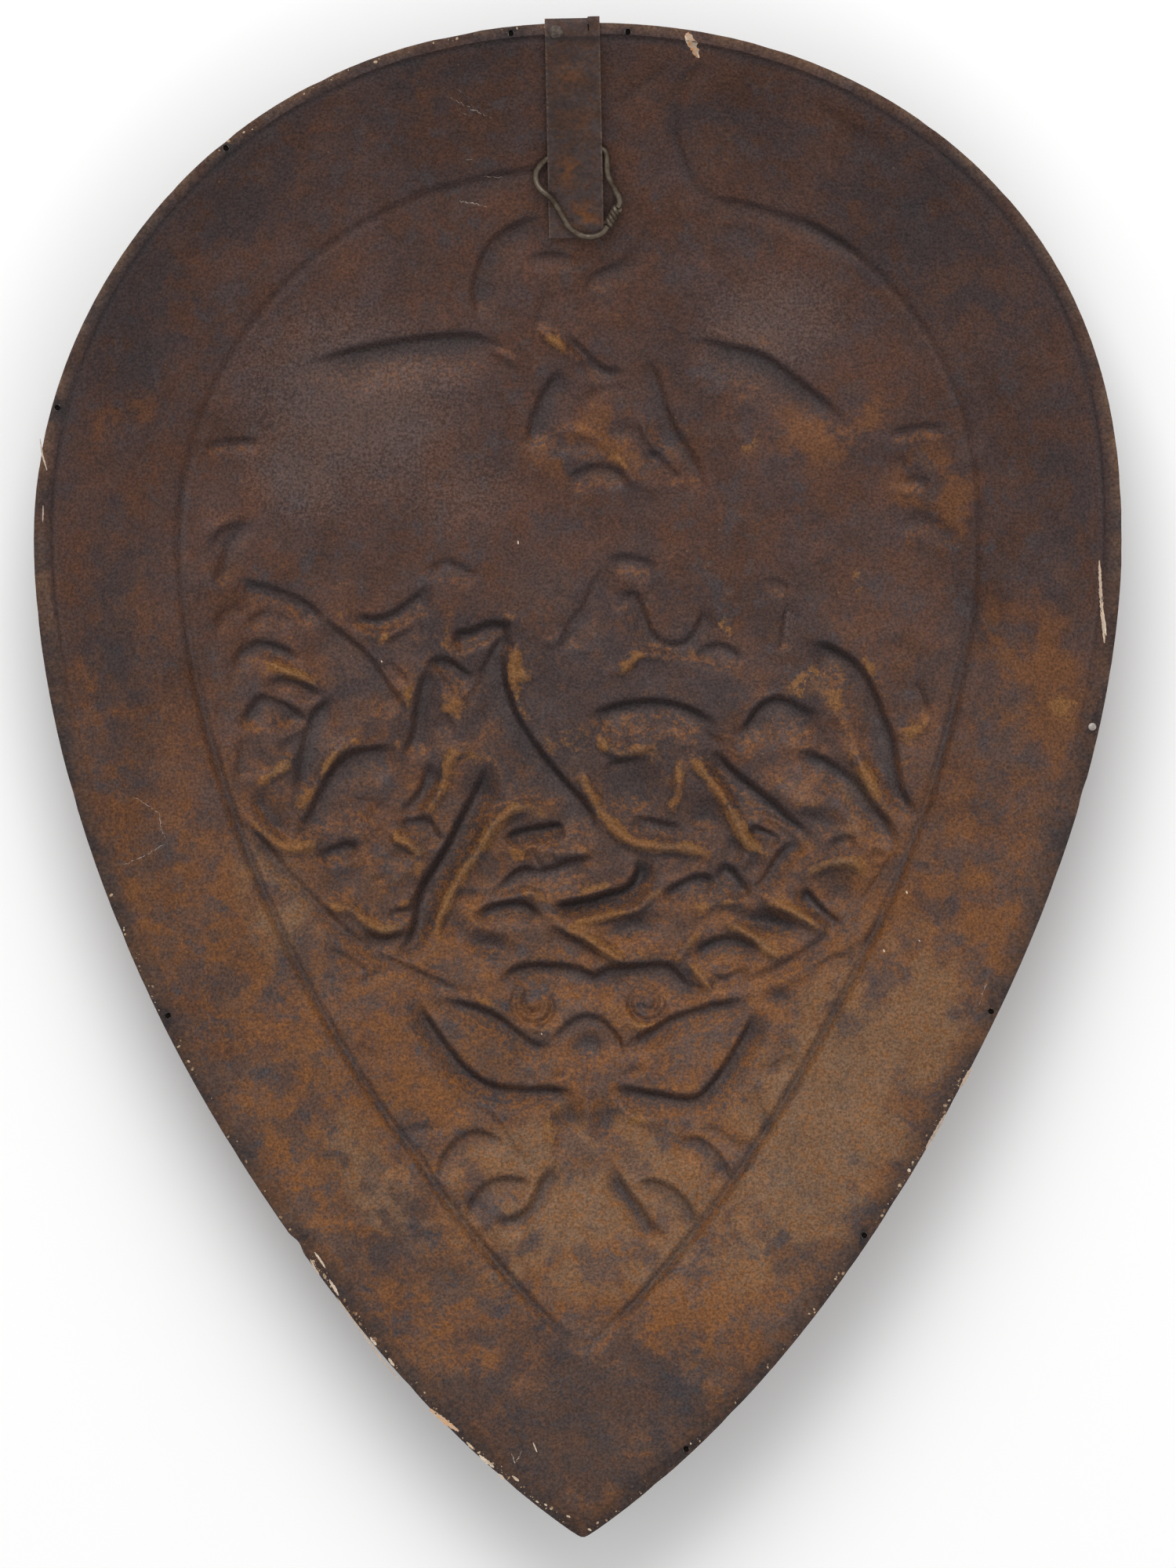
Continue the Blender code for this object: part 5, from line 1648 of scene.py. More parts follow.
        # Painted shade: the hollows of the carving
        paint(plate, "hollow", eased(stands, *self.hollow))
        # Rust and painted light: walls of the carving that face the lamp, low on the plate
        paint(plate, "lip", eased(north, *self.lip) * below(parts, *self.rust_and_light_lips))
        # Painted shade: where the walls of the carving face away from the lamp
        paint(plate, "eave", eased(-north, *self.eave))
        # 0 at the crown to 1 at the point: where rust and flaking grow, and the painted lighter ground
        paint(plate, "fall", below(parts, *self.rust_and_light_span))
        for stain in Stain:
            total = np.zeros(len(parts))
            for x, y, along, across, turn, strength in PATCHES[stain]:
                total = np.maximum(total, Bowl((x, y), (along, across), turn, strength).depth_at(parts))
            paint(plate, stain.value, total)


class Recipe(Sketch):
    """A Geometry Nodes tree with named number inputs, cast on an object and settled to a mesh."""

    kinds: ClassVar[dict] = {int: "NodeSocketInt", float: "NodeSocketFloat", tuple: "NodeSocketVector"}

    def __init__(self, name: str, values: dict) -> None:
        """Start the tree.

        Args:
            name: The tree's name.
            values: Name of each number input, and its value.
        """
        super().__init__(bpy.data.node_groups.new(name, "GeometryNodeTree"))
        self.values = {}
        sockets = self.tree.interface
        sockets.new_socket("Geometry", in_out="INPUT", socket_type="NodeSocketGeometry")
        for label, value in values.items():
            socket = sockets.new_socket(label, in_out="INPUT", socket_type=self.kinds[type(value)])
            self.values[socket.identifier] = value
        sockets.new_socket("Geometry", in_out="OUTPUT", socket_type="NodeSocketGeometry")
        self.given = self.add("NodeGroupInput").outputs

    def cast(self, obj: Object, shape: NodeSocket, material: Material | None) -> Object:
        """End the tree, run it on an object and keep the result as a plain mesh.

        Args:
            obj: The object that the tree runs on.
            shape: The socket that holds the finished geometry.
            material: What the shape is made of, or None for a tool that is thrown away.

        Returns:
            The same object with its new mesh.
        """
        real = self.add("GeometryNodeRealizeInstances", {"Geometry": shape})
        inputs = {"Geometry": real.outputs[0], "Material": material}
        dressed = self.add("GeometryNodeSetMaterial", inputs)
        self.add("NodeGroupOutput", {"Geometry": dressed.outputs[0]})
        modifier = obj.modifiers.new(self.tree.name, "NODES")
        modifier.node_group = self.tree
        for identifier, value in self.values.items():
            modifier[identifier] = value
        return settled(obj)


@dataclass(frozen=True)
class HangingWire:
    """The loop of wire behind the strap, and the knot where its ends are twisted together."""

    diameter: float = 0.0026
    knot_diameter: float = 0.0044
    knot_gap: float = 0.0008
    strand: float = 0.0020
    turns: float = 2.0
    steps: int = 72
    strand_sides: int = 14
    route_steps: int = 10
    bevel_steps: int = 5
    route: tuple = (
        (0.0170, -0.0771, -0.0283), (0.0179, -0.0750, -0.0277), (0.0169, -0.0719, -0.0270),
        (0.0152, -0.0689, -0.0257), (0.0137, -0.0660, -0.0244), (0.0127, -0.0630, -0.0233),
        (0.0124, -0.0587, -0.0224), (0.0120, -0.0546, -0.0223), (0.0097, -0.0525, -0.0223),
        (0.0050, -0.0520, -0.0219), (0.0000, -0.0524, -0.0220), (-0.0056, -0.0537, -0.0225),
        (-0.0099, -0.0554, -0.0232), (-0.0133, -0.0573, -0.0238), (-0.0159, -0.0596, -0.0245),
        (-0.0176, -0.0623, -0.0252), (-0.0179, -0.0653, -0.0253), (-0.0169, -0.0683, -0.0250),
        (-0.0150, -0.0705, -0.0245), (-0.0128, -0.0723, -0.0245), (-0.0107, -0.0745, -0.0253),
        (-0.0086, -0.0777, -0.0268), (-0.0066, -0.0812, -0.0284), (-0.0046, -0.0845, -0.0295),
        (-0.0020, -0.0870, -0.0302), (0.0010, -0.0890, -0.0307), (0.0050, -0.0898, -0.0308),
        (0.0086, -0.0891, -0.0307), (0.0112, -0.0874, -0.0305), (0.0126, -0.0852, -0.0302),
    )

    def loop(self, material: Material) -> tuple:
        """Make the loop.

        Args:
            material: The wire's metal.

        Returns:
            The loop's curve object, and the points of its line.
        """
        line = smooth_line(np.array(self.route), self.route_steps) + CROWN
        length = distances(line)[-1]
        line = read_off(line, np.linspace(0.0, length, round(length / self.diameter * 2) + 1))
        curve = bpy.data.curves.new("wire_loop", "CURVE")
        curve.dimensions = "3D"
        curve.bevel_depth = self.diameter / 2
        curve.bevel_resolution = self.bevel_steps
        curve.use_fill_caps = True
        spline = curve.splines.new("POLY")
        spline.points.add(len(line) - 1)
        for spot, point in zip(spline.points, line):
            spot.co = (*point, 1.0)
        spline.use_smooth = True
        loop = placed("wire_loop", curve)
        dress(loop, material, "wire", "hanging_wire")
        return loop, line

    def knot(self, material: Material) -> Object:
        """Two strands wound round each other between the ends of the loop.

        Args:
            material: The wire's metal.

        Returns:
            The knot, as one mesh.
        """
        start, end = self.route[-1] + CROWN, self.route[0] + CROWN
        along = (end - start) / np.linalg.norm(end - start)
        side = np.cross(along, [0.0, 0.0, 1.0])
        side /= np.linalg.norm(side)
        up = np.cross(side, along)
        start, end = start + along * self.knot_gap, end - along * self.knot_gap
        radius = (self.knot_diameter - self.strand) / 2
        sizes = {
            "Start": tuple(start),
            "End": tuple(end),
            "Side": tuple(side * radius),
            "Up": tuple(up * radius),
            "Turns": self.turns,
            "Strand": self.strand,
            "Steps": self.steps,
        }
        recipe = Recipe("wire_knot", sizes)
        add, math_of, given = recipe.add, recipe.math, recipe.given
        strands = add("GeometryNodeJoinGeometry")
        for phase in (0.0, math.pi):
            line = add("GeometryNodeCurvePrimitiveLine", {"Start": given["Start"], "End": given["End"]})
            line = add("GeometryNodeResampleCurve", {"Curve": line.outputs[0], "Count": given["Steps"]})
            factor = add("GeometryNodeSplineParameter").outputs["Factor"]
            angle = math_of("MULTIPLY", math_of("MULTIPLY", factor, given["Turns"]), 2 * math.pi)
            angle = math_of("ADD", angle, phase)
            across = recipe.scaled(given["Side"], math_of("COSINE", angle))
            above = recipe.scaled(given["Up"], math_of("SINE", angle))
            offset = add("ShaderNodeVectorMath", {0: across, 1: above}, operation="ADD").outputs[0]
            wound = add("GeometryNodeSetPosition", {"Geometry": line.outputs[0], "Offset": offset}).outputs[0]
            half = math_of("MULTIPLY", given["Strand"], 0.5)
            ring = {"Resolution": self.strand_sides, "Radius": half}
            ring = add("GeometryNodeCurvePrimitiveCircle", ring).outputs[0]
            tube = {"Curve": wound, "Profile Curve": ring, "Fill Caps": True}
            recipe.feed(strands.inputs[0], add("GeometryNodeCurveToMesh", tube).outputs[0])
        knot = recipe.cast(plain_mesh("wire_knot", [start], []), strands.outputs[0], material)
        dress(knot, material, "wire", "wire_twist", sharp=60.0)
        return knot

    def build(self, finish: MetalFinish) -> None:
        """Args:
            finish: The wire's metal.
        """
        material = finish.material()
        loop, line = self.loop(material)
        knot = self.knot(material)


@dataclass(frozen=True)
class HangerStrap:
    """The flat iron strap hooked over the crown, with a slit that frees a tab at its right."""

    plate: ShieldPlate
    width: float = 0.0232
    thickness: float = 0.0016
    length: float = 0.0918
    centre: float = -0.0024
    turn: float = math.radians(1.15)
    foot: float = 0.0080
    foot_gap: float = 0.0007
    bend_inside: float = 0.0003
    slit_width: float = 0.0006
    slit_length: float = 0.0040
    tab_width: float = 0.0048
    tab_lift: float = 0.0007
    columns: int = 20
    tab_columns: int = 6
    stations: int = 110
    arc_steps: int = 8
    edge_round: float = 0.0003
    least_rust: float = 0.08
    rust_spots: tuple = (
        (0.24, -0.002, 0.12, 0.6),
        (0.45, 0.004, 0.12, 0.4),
        (0.68, -0.002, 0.12, 0.7),
        (0.88, 0.003, 0.10, 1.0),
    )
    edge_wear: float = 0.45
    edge_reach: float = 2.0
    beaten: float = 0.00012
    beaten_size: float = 0.009
    beaten_level: float = 0.6
    crease_at: float = 0.0068
    crease_width: float = 0.0022
    worn_end: tuple = (0.985, 0.01)

    def dish_height(self, x: float, y: float) -> float:
        """Height of the plain dish, without its carving, at one place."""
        inside = self.plate.outline.rim_inside(self.plate.outline.points(COARSE_EDGE))
        return RIM_TOP - float(self.plate.dish(np.array([[x, y]]), inside)[0])

    def rounded(self, path: tuple, radius: float) -> list:
        """A path with its corners rounded by arcs.

        Args:
            path: The path's corners.
            radius: Radius of the arcs.

        Returns:
            The rounded path's points.
        """
        result = [path[0]]
        for before, corner, after in zip(path, path[1:], path[2:]):
            corner = np.array(corner)
            back, ahead = np.array(before) - corner, np.array(after) - corner
            back, ahead = back / np.hypot(*back), ahead / np.hypot(*ahead)
            half = math.acos(float(np.clip(back @ ahead, -1, 1))) / 2
            cut = radius / math.tan(half)
            middle = back + ahead
            centre = corner + middle / np.hypot(*middle) * radius / math.sin(half)
            first, last = corner + back * cut - centre, corner + ahead * cut - centre
            for share in np.linspace(0.0, 1.0, self.arc_steps + 1):
                spoke = first * (1 - share) + last * share
                result.append(tuple(centre + spoke / np.hypot(*spoke) * radius))
        result.append(path[-1])
        return result

    def profile(self) -> Array:
        """The strap's middle line seen from the side, as Y and Z, from the lip to the foot.

        Returns:
            The line's points, as rows.
        """
        edge, half = CROWN[1], self.thickness / 2
        radius = self.bend_inside + half
        outer = edge + GAP + half
        top = RIM_TOP + GAP + half
        end = outer + half - self.length
        knee = end + self.foot
        low, high = self.dish_height(self.centre, end), self.dish_height(self.centre, knee)
        lift = self.foot_gap + half * math.hypot(1.0, (high - low) / self.foot)
        bend = edge - self.plate.outline.crown_rim - radius
        hook = ((outer, RIM_TOP - self.plate.wall), (outer, top), (bend, top))
        path = (*hook, (knee, high + lift), (end, low + lift))
        line = np.array(self.rounded(path, radius))
        run = distances(line)
        return read_off(line, np.union1d(run, np.linspace(0.0, run[-1], self.stations)))

    def build(self, finish: IronFinish) -> None:
        """Make the strap and dress it.

        Args:
            finish: The rusted iron.
        """
        line = self.profile()
        run = distances(line)
        corner = int(np.argmax(line[:, 1] >= line[:, 1].max() - 1e-7))
        slit_run = run[corner] + self.slit_length
        half = self.width / 2
        slit = half - self.tab_width
        left = np.linspace(-half, slit - self.slit_width / 2, self.columns)
        right = np.linspace(slit + self.slit_width / 2, half, self.tab_columns)
        across = np.concatenate([left, right])
        pivot = CROWN + [self.centre, 0.0, 0.0]
        turned = np.array([math.cos(self.turn), math.sin(self.turn)])
        x, y, z = (grid.ravel() for grid in np.broadcast_arrays(across, line[:, :1] - pivot[1], line[:, 1:]))
        raised = np.repeat(self.tab_lift * smooth(1.0 - run / slit_run), len(across)) * (x > slit)
        y = y + raised
        x, y = pivot[0] + x * turned[0] - y * turned[1], pivot[1] + x * turned[1] + y * turned[0]
        points = np.stack([x, y, z + raised], 1)
        count = len(across)
        faces = []
        for row in range(len(line) - 1):
            for column in range(count - 1):
                if column == len(left) - 1 and run[corner] < run[row] and run[row + 1] <= slit_run:
                    continue
                a = row * count + column
                faces.append((a, a + 1, a + count + 1, a + count))
        strap = plain_mesh("strap_iron", points, faces)
        thick = strap.modifiers.new("thickness", "SOLIDIFY")
        thick.thickness = self.thickness
        thick.offset = 0.0
        soft = strap.modifiers.new("edges", "BEVEL")
        soft.width = self.edge_round
        soft.segments = 2
        soft.limit_method = "ANGLE"
        soft.angle_limit = math.radians(60)
        settled(strap)
        points = corners(strap)
        beaten = rough_noise(points[:, :2], self.beaten_size, 31)
        points[:, 2] -= self.beaten * np.clip(beaten + self.beaten_level, 0.0, 2.0)
        set_corners(strap, points)
        down = CROWN[1] - points[:, 1]
        rows = down / self.length
        aside = (points[:, :2] - pivot[:2]) @ turned
        rust = np.full(len(points), self.least_rust)
        for row, column, length, strength in self.rust_spots:
            gap = np.hypot((rows - row) / length, (aside - column) / half)
            rust = np.maximum(rust, strength * smooth(1.0 - gap))
        paint(strap, "rust", rust)
        # Painted shade: a band across the bend below the rim
        paint(strap, "crease", smooth(1.0 - np.abs(down - self.crease_at) / self.crease_width))
        edges = self.edge_wear * smooth((np.abs(aside) - half) / self.edge_round + self.edge_reach)
        paint(strap, "worn", np.maximum(eased(rows, *self.worn_end), edges))
        dress(strap, finish.material(), "iron", "hanger_strap", sharp=40.0)


@dataclass(frozen=True)
class Fastenings:
    """The lump of solder on the strap's corner and the one nail left in the rim."""

    strap: HangerStrap
    solder_size: tuple = (0.0038, 0.0030, 0.0014)
    solder_inset: tuple = (0.0046, 0.0039)
    solder_detail: int = 5
    solder_base: float = 0.90
    solder_most: float = 1.08
    solder_lumps: tuple = ((0.10, 0.8, 3), (0.04, 0.25, 9))
    nail_diameter: float = 0.0020
    head_diameter: float = 0.0034
    head_height: float = 0.0006
    nail_tail: float = 0.0006
    nail_sides: int = 28
    dome_steps: int = 7

    def solder(self, finish: MetalFinish) -> None:
        """Make a rough lump at the upper left corner of the strap.

        Args:
            finish: The old solder.
        """
        strap = self.strap
        x = strap.centre - strap.width / 2 + self.solder_inset[0]
        y = CROWN[1] - self.solder_inset[1]
        z = RIM_TOP + GAP + strap.thickness + GAP
        shape = bmesh.new()
        bmesh.ops.create_icosphere(shape, subdivisions=self.solder_detail, radius=1.0)
        lump = placed("solder", bpy.data.meshes.new("solder"))
        shape.to_mesh(lump.data)
        shape.free()
        points = corners(lump)
        points[:, 2] = np.maximum(points[:, 2], 0.0)
        flat = points[:, :2]
        lumps = (depth * rough_noise(flat, size, seed) for depth, size, seed in self.solder_lumps)
        rough = np.minimum(sum(lumps, self.solder_base), self.solder_most)
        points *= np.array(self.solder_size) * rough[:, None]
        set_corners(lump, points + [x, y, z - GAP])
        outward(lump, 0.00001)
        dress(lump, finish.material(), "solder", "solder_lump", sharp=60.0)

    def nail(self, finish: MetalFinish) -> None:
        """Make a low domed head on a short shank through the rim.

        Args:
            finish: The pale metal.
        """
        plate = self.strap.plate
        x, y = plate.outline.rim_point(*plate.nail_place)
        head, shank = self.head_diameter / 2, self.nail_diameter / 2
        z = RIM_TOP + GAP
        angles = np.linspace(0.0, math.pi / 2, self.dome_steps)
        dome = [(head * math.sin(angle), z + self.head_height * math.cos(angle)) for angle in angles]
        profile = [*dome[1:], (head, z), (shank, z), (shank, z - GAP - plate.wall - self.nail_tail)]
        turn = np.arange(self.nail_sides) * 2 * math.pi / self.nail_sides
        circle = np.stack([np.cos(turn), np.sin(turn), 0 * turn], 1)
        rings = [circle * radius + [x, y, height] for radius, height in profile]
        points = np.concatenate([[(x, y, dome[0][1])], *rings, [(x, y, profile[-1][1])]])
        faces = ring_faces(self.nail_sides, len(rings), 1).tolist()
        faces += fan(self.nail_sides, 1, 0).tolist()
        faces += fan(self.nail_sides, len(points) - 1 - self.nail_sides, len(points) - 1).tolist()
        nail = plain_mesh("nail", points, faces)
        outward(nail)
        dress(nail, finish.material(), "nail", "rim_nail")


@dataclass(frozen=True)
class Mark:
    """One flake of old paint or one scratch, a ribbon along a path in parts of the carving.

    Its width is in millimetres."""

    path: tuple
    width: float
    orange: float = 0.0
    dull: float = 0.0
    thickness: float = 0.00012


MARKS = tuple(Mark(*row) for row in (
    ((46.1, 214.6, 48.4, 210.1, 50.6, 204.6), 4.0, 1.0, 0.25),
    ((45.4, 213.6, 46.6, 209.5), 1.2, 0.3),
    ((50.2, 206.8, 51.2, 204.2), 1.4, 0.2),
    ((220.4, -8.3, 221.0, -23.2, 222.5, -43.1), 1.6, 0.25, 0.2),
    ((222.0, -30.0, 223.2, -40.0), 1.0, 0.0),
    ((-111.3, -300.5, -109.0, -303.5, -106.7, -307.2), 1.0),
    ((-113.0, -303.6, -111.0, -307.5, -109.3, -309.8), 0.9, 0.3),
    ((-105.0, -312.1, -101.1, -318.8), 1.4),
    ((-101.7, -319.7, -93.1, -331.8, -83.8, -344.6, -75.2, -355.0), 0.7, 0.3, 0.2),
    ((-87.6, -336.5, -85.2, -339.8), 1.5),
    ((-80.0, -345.3, -77.6, -348.6), 1.3),
    ((-62.6, -366.8, -58.0, -370.6, -50.4, -376.2), 2.2, 0.7),
    ((-60.0, -369.0, -52.0, -375.2), 1.3),
    ((-47.0, -380.8, -43.7, -383.9), 1.4, 0.3),
    ((-41.7, -386.3, -38.5, -388.9, -35.5, -391.4), 1.6),
    ((-33.5, -394.3, -31.1, -396.5), 1.4),
    ((-27.8, -395.0, -24.9, -397.2), 1.3, 0.4),
    ((-18.9, -381.0, -17.2, -385.0), 0.7),
    ((-17.8, -405.6, -16.6, -406.4), 0.9),
    ((-14.2, -406.9, -13.0, -407.7), 0.9),
    ((-4.8, -411.8, -3.2, -412.6), 1.0),
    ((4.2, -417.4, 5.8, -418.2), 1.0),
    ((-28.5, -383.7, -26.5, -389.7, -23.5, -384.4), 0.4, 0.0, 0.5),
    ((166.2, -222.8, 163.8, -227.0, 161.4, -231.2), 1.6, 0.3, 0.4),
    ((155.2, -242.4, 151.2, -249.6, 147.0, -256.6), 1.5, 0.2, 0.5),
    ((139.6, -265.2, 140.4, -266.6), 1.2, 0.0, 0.1),
    ((172.6, -186.9, 169.3, -196.5), 0.4, 0.0, 0.5),
    ((-188.9, -107.4, -176.6, -115.3, -176.6, -120.6, -173.0, -128.6), 0.4, 0.0, 0.8),
    ((-175.0, -128.2, -184.6, -133.9, -192.8, -137.2), 0.4, 0.0, 0.8),
    ((-55.7, 188.5, -46.1, 183.6, -36.4, 178.9), 0.4, 0.0, 0.85),
    ((-50.5, 191.0, -44.0, 186.0), 0.3, 0.0, 0.85),
    ((-52.0, 183.0, -45.5, 180.0), 0.3, 0.0, 0.9),
    ((-48.0, 161.9, -44.0, 161.5), 0.4, 0.0, 0.8),
    ((-40.4, 154.9, -32.1, 154.5), 0.4, 0.0, 0.85),
    ((-50.0, 144.1, -44.0, 143.4, -38.4, 142.1), 0.5, 0.0, 0.8),
    ((-227.2, 43.1, -226.2, 36.0, -224.3, 29.8), 0.8, 0.0, 0.4),
    ((-225.9, 15.0, -226.1, 8.0), 0.6, 0.0, 0.5),
    ((139.0, -148.0, 139.5, -149.2), 0.9),
    ((129.2, -172.8, 130.0, -173.8), 1.0),
    ((144.2, -168.6, 144.8, -169.4), 0.6, 0.0, 0.3),
    ((-25.5, 0.6, -25.3, -0.9), 0.8),
    ((139.2, -265.6, 139.8, -266.6), 0.7, 0.0, 0.3),
    ((-15.6, -208.3, -15.2, -209.1), 0.7, 0.0, 0.2),
    ((47.5, -381.0, 47.9, -381.8), 0.8, 0.5),
    ((-83.5, -50.3, -83.1, -51.1), 0.8),
))


@dataclass(frozen=True)
class PaintFinish:
    """Chalky remains of pale paint, orange where its ground shows, dull where it is thin."""

    cream: tuple = (0.62, 0.50, 0.38)
    orange: tuple = (0.52, 0.22, 0.06)
    dull: tuple = (0.235, 0.180, 0.165)
    roughness: float = 0.8
    bump: float = 0.00006

    def material(self) -> Material:
        """Build the material of the flakes and scratches.

        Returns:
            A material that reads the flakes' own attributes.
        """
        coat = Coat("old_paint", self.cream, metallic=0.0)
        blot = coat.blots(0.0022, 5.0, 0.35, 0.62)
        coat.lay(self.orange, coat.math("MULTIPLY", coat.attribute("orange"), blot))
        coat.lay(self.dull, coat.attribute("dull"))
        coat.dim(coat.between(blot, 0.75, 1.05))
        return coat.finish(self.roughness, blot, self.bump)


@dataclass(frozen=True)
class Remains:
    """What clings to the plate: flakes and scratches, draped on its back, and crumbs."""

    plate: Object
    station: float = 0.0006
    section: ClassVar[Array] = np.array([0.6, 1.0, 0.6])
    sink: float = 0.00006
    widest_scratch: float = 0.6
    broken: float = 0.45
    hairline: float = 0.25
    wander: float = 0.00022
    blunt: float = 0.12
    ragged: tuple = (0.55, 1.15)
    crumbling: tuple = (
        (0.504, 0.60, 130), (0.60, 0.70, 40), (0.345, 0.39, 70), (0.39, 0.498, 40), (0.90, 0.99, 36),
    )
    crumb_inset: float = 0.0008
    crumb_spread: float = 0.0011
    least_crumb: float = 0.00016
    most_crumb: float = 0.00095
    crumb_form: tuple = (1.0, 0.7, 0.45)
    mostly_small: float = 3.0

    @cached_property
    def ground(self) -> BVHTree:
        """The plate's surface, for rays to find."""
        return BVHTree.FromObject(self.plate, bpy.context.evaluated_depsgraph_get())

    def draped(self, flat: Array) -> Array:
        """Points on the plate's back, over or under rows of X and Y."""
        down = Vector((0.0, 0.0, -1.0))
        hits = [self.ground.ray_cast(Vector((x, y, 1.0)), down)[0] for x, y in flat]
        return np.column_stack([flat, [hit.z if hit else RIM_TOP for hit in hits]])

    def flakes(self, finish: PaintFinish) -> None:
        """Make ribbons with ragged sides, each a thin closed body.

        Args:
            finish: The old paint.
        """
        random = np.random.default_rng(7)
        points, faces, orange, dull = [], [], [], []
        for mark in MARKS:
            control = np.array(mark.path).reshape(-1, 2) * PART + [0.0, WIDEST_Y]
            length = distances(control)[-1]
            count = max(4, round(length / self.station))
            line = read_off(control, np.linspace(0.0, length, count))
            along = np.gradient(line, axis=0)
            along /= np.hypot(*along.T)[:, None]
            side = np.stack([-along[:, 1], along[:, 0]], 1)
            taper = np.sqrt(np.sin(np.linspace(self.blunt, math.pi - self.blunt, count)))
            if mark.width < self.widest_scratch:
                taper *= np.where(random.uniform(size=count) < self.broken, self.hairline, 1.0)
                line += random.normal(0.0, self.wander, (count, 2))
            left, right = (mark.width / 2000 * taper[:, None] * random.uniform(*self.ragged, (count, 2))).T
            aside = np.stack([-left, 0 * left, right, right, 0 * left, -left], 1)
            flat = line[:, None] + side[:, None] * aside[..., None]
            body = self.draped(flat.reshape(-1, 2)).reshape(count, 6, 3)
            body[..., 2] += [*mark.thickness * self.section, *[-self.sink] * 3]
            faces += ring_faces(6, count, len(points)).tolist()
            faces += [(len(points) + np.arange(6)[::-1]).tolist()]
            points += body.reshape(-1, 3).tolist()
            faces += [(len(points) - 6 + np.arange(6)).tolist()]
            orange += [mark.orange] * (count * 6)
            dull += [mark.dull] * (count * 6)
        flakes = plain_mesh("paint_remains", points, faces)
        paint(flakes, "orange", np.array(orange))
        paint(flakes, "dull", np.array(dull))
        outward(flakes)
        dress(flakes, finish.material(), "bronze")

    def crumbs(self, outline: Outline, material: Material) -> None:
        """Strew crumbs of paint and rust along the edge, made by Geometry Nodes on one point each.

        Args:
            outline: The plate's outline.
            material: What the crumbs are made of.
        """
        random = np.random.default_rng(12)
        edge = outline.points(EDGE)
        inward = outline.inward(edge)
        spots = []
        for first, last, count in self.crumbling:
            index = np.round(random.uniform(first, last, count) * len(edge)).astype(int) % len(edge)
            inset = self.crumb_inset + np.abs(random.normal(size=count)) * self.crumb_spread
            spots.append(edge[index] + inward[index] * inset[:, None])
        crumbs = plain_mesh("rim_crumbs", self.draped(np.concatenate(spots)), [])
        sizes = {"Least": self.least_crumb, "Most": self.most_crumb, "Flat": self.crumb_form, "Seed": 4}
        recipe = Recipe("rim_crumbs", sizes)
        add, given = recipe.add, recipe.given
        rock = add("GeometryNodeMeshIcoSphere", {"Radius": 1.0, "Subdivisions": 2}).outputs[0]
        flat = add("GeometryNodeTransform", {"Geometry": rock, "Scale": given["Flat"]}).outputs[0]
        turns = {1: (0.0, 0.0, 2 * math.pi), "Seed": given["Seed"]}
        turn = add("FunctionNodeRandomValue", turns, data_type="FLOAT_VECTOR").outputs[0]
        chance = add("FunctionNodeRandomValue", {"Seed": given["Seed"]}, data_type="FLOAT").outputs[1]
        reach = recipe.math("SUBTRACT", given["Most"], given["Least"])
        grown = recipe.math("MULTIPLY", recipe.math("POWER", chance, self.mostly_small), reach)
        size = recipe.math("ADD", given["Least"], grown)
        links = {"Points": given["Geometry"], "Instance": flat, "Rotation": turn, "Scale": size}
        recipe.cast(crumbs, add("GeometryNodeInstanceOnPoints", links).outputs[0], material)
        dress(crumbs, material, "bronze", sharp=40.0)


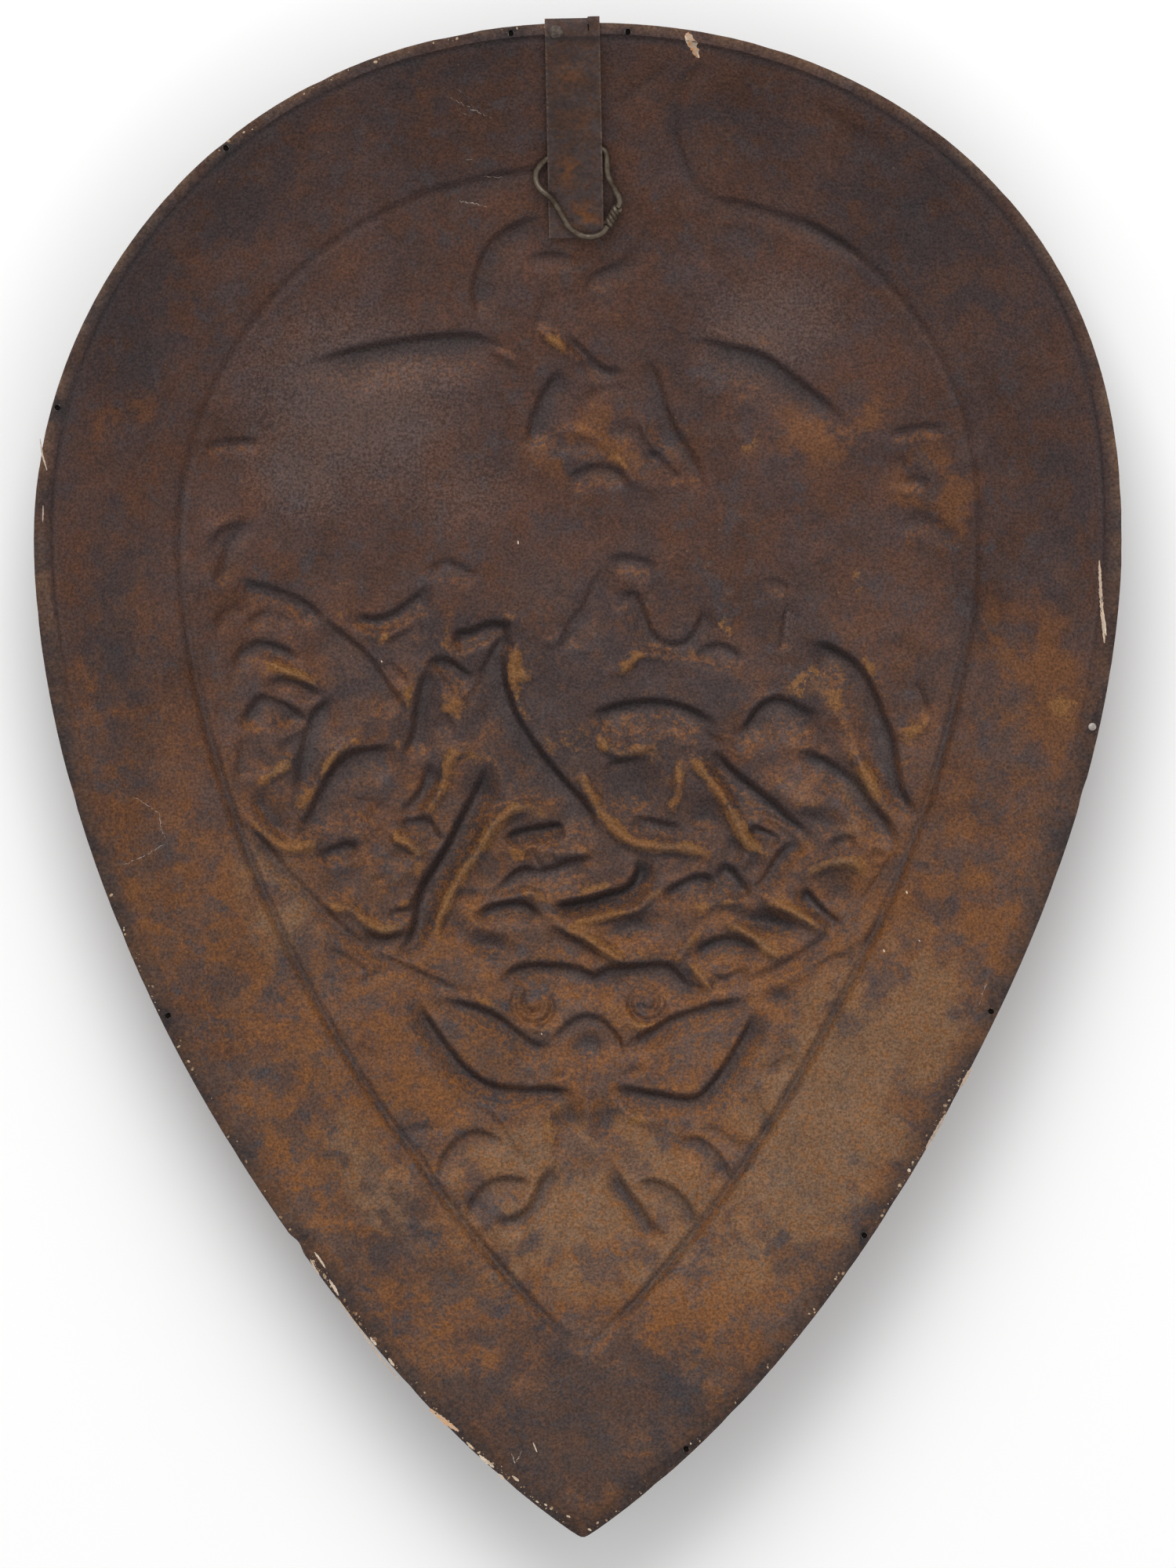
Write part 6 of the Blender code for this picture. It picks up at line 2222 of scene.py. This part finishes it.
@dataclass(frozen=True)
class Studio:
    """Plain pale floor, soft light from above the crown, and the camera straight above."""

    centre: tuple = (0.0043, -0.0031)
    height: float = 9.05
    frame_height: float = 0.6626
    sensor: float = 24.0
    floor_size: float = 12.0
    floor_drop: float = 0.0004
    key: tuple = ((-0.30, 2.2, 2.35), 2.2, 67.0)
    fill: tuple = ((0.9, -1.8, 2.4), 2.0, 10.0)
    sky: float = 0.63
    white: tuple = (0.96, 0.96, 0.96)
    off_white: tuple = (0.94, 0.94, 0.94)
    roughness: float = 0.8

    def camera(self) -> None:
        """Set the camera looking straight down, with the crown at the top of the picture."""
        data = bpy.data.cameras.new("camera")
        data.sensor_fit = "VERTICAL"
        data.sensor_height = self.sensor
        data.lens = self.sensor * (self.height - RIM_TOP) / self.frame_height
        data.dof.use_dof = False
        camera = placed("camera", data)
        camera.location = (*self.centre, self.height)
        bpy.context.scene.camera = camera

    def lamp(self, name: str, place: tuple, size: float, power: float) -> None:
        """Add a soft square lamp that shines on the middle of the shield.

        Args:
            name: The lamp's name.
            place: Where it hangs.
            size: Length of its sides.
            power: Its power, in watts.
        """
        data = bpy.data.lights.new(name, "AREA")
        data.energy = power
        data.size = size
        lamp = placed(name, data)
        lamp.location = place
        lamp.rotation_euler = (-Vector(place)).to_track_quat("-Z", "Y").to_euler()
        lamp.visible_camera = False

    def floor(self) -> None:
        """Lay the pale floor just under the shield."""
        half = self.floor_size / 2
        points = [(-half, -half), (half, -half), (half, half), (-half, half)]
        floor = plain_mesh("floor", np.insert(points, 2, -self.floor_drop, axis=1), [(0, 1, 2, 3)])
        coat = Coat("floor_white", self.white, metallic=0.0)
        grain = coat.blots(0.8, detail=2.0, low=0.0, high=1.0)
        coat.lay(self.off_white, grain)
        floor.data.materials.append(coat.finish(self.roughness, grain, bump=0.0))

    def build(self) -> None:
        """Set up the camera, the lamps, the world and the floor."""
        self.camera()
        self.lamp("key_lamp", *self.key)
        self.lamp("fill_lamp", *self.fill)
        self.floor()
        world = bpy.data.worlds.new("pale_room")
        world.use_nodes = True
        light = world.node_tree.nodes["Background"].inputs
        light["Color"].default_value = (1.0, 1.0, 1.0, 1.0)
        light["Strength"].default_value = self.sky
        bpy.context.scene.world = world
        bpy.context.scene.view_settings.view_transform = "Standard"


def main() -> None:
    """Build every piece in order."""
    logging.basicConfig(level=logging.INFO, format="%(name)s %(message)s")
    Studio().build()
    HangingWire().build(WIRE)
    plate = ShieldPlate(Outline(), Relief())
    dressed = plate.build(BronzeFinish())
    plate.hole_dirt(HOLE_SHADOW.material())
    remains = Remains(dressed)
    remains.flakes(PaintFinish())
    remains.crumbs(plate.outline, CRUMBS.material())
    strap = HangerStrap(plate)
    strap.build(IronFinish())
    fastenings = Fastenings(strap)
    fastenings.solder(SOLDER)
    fastenings.nail(NAIL)


if __name__ == "__main__":
    main()
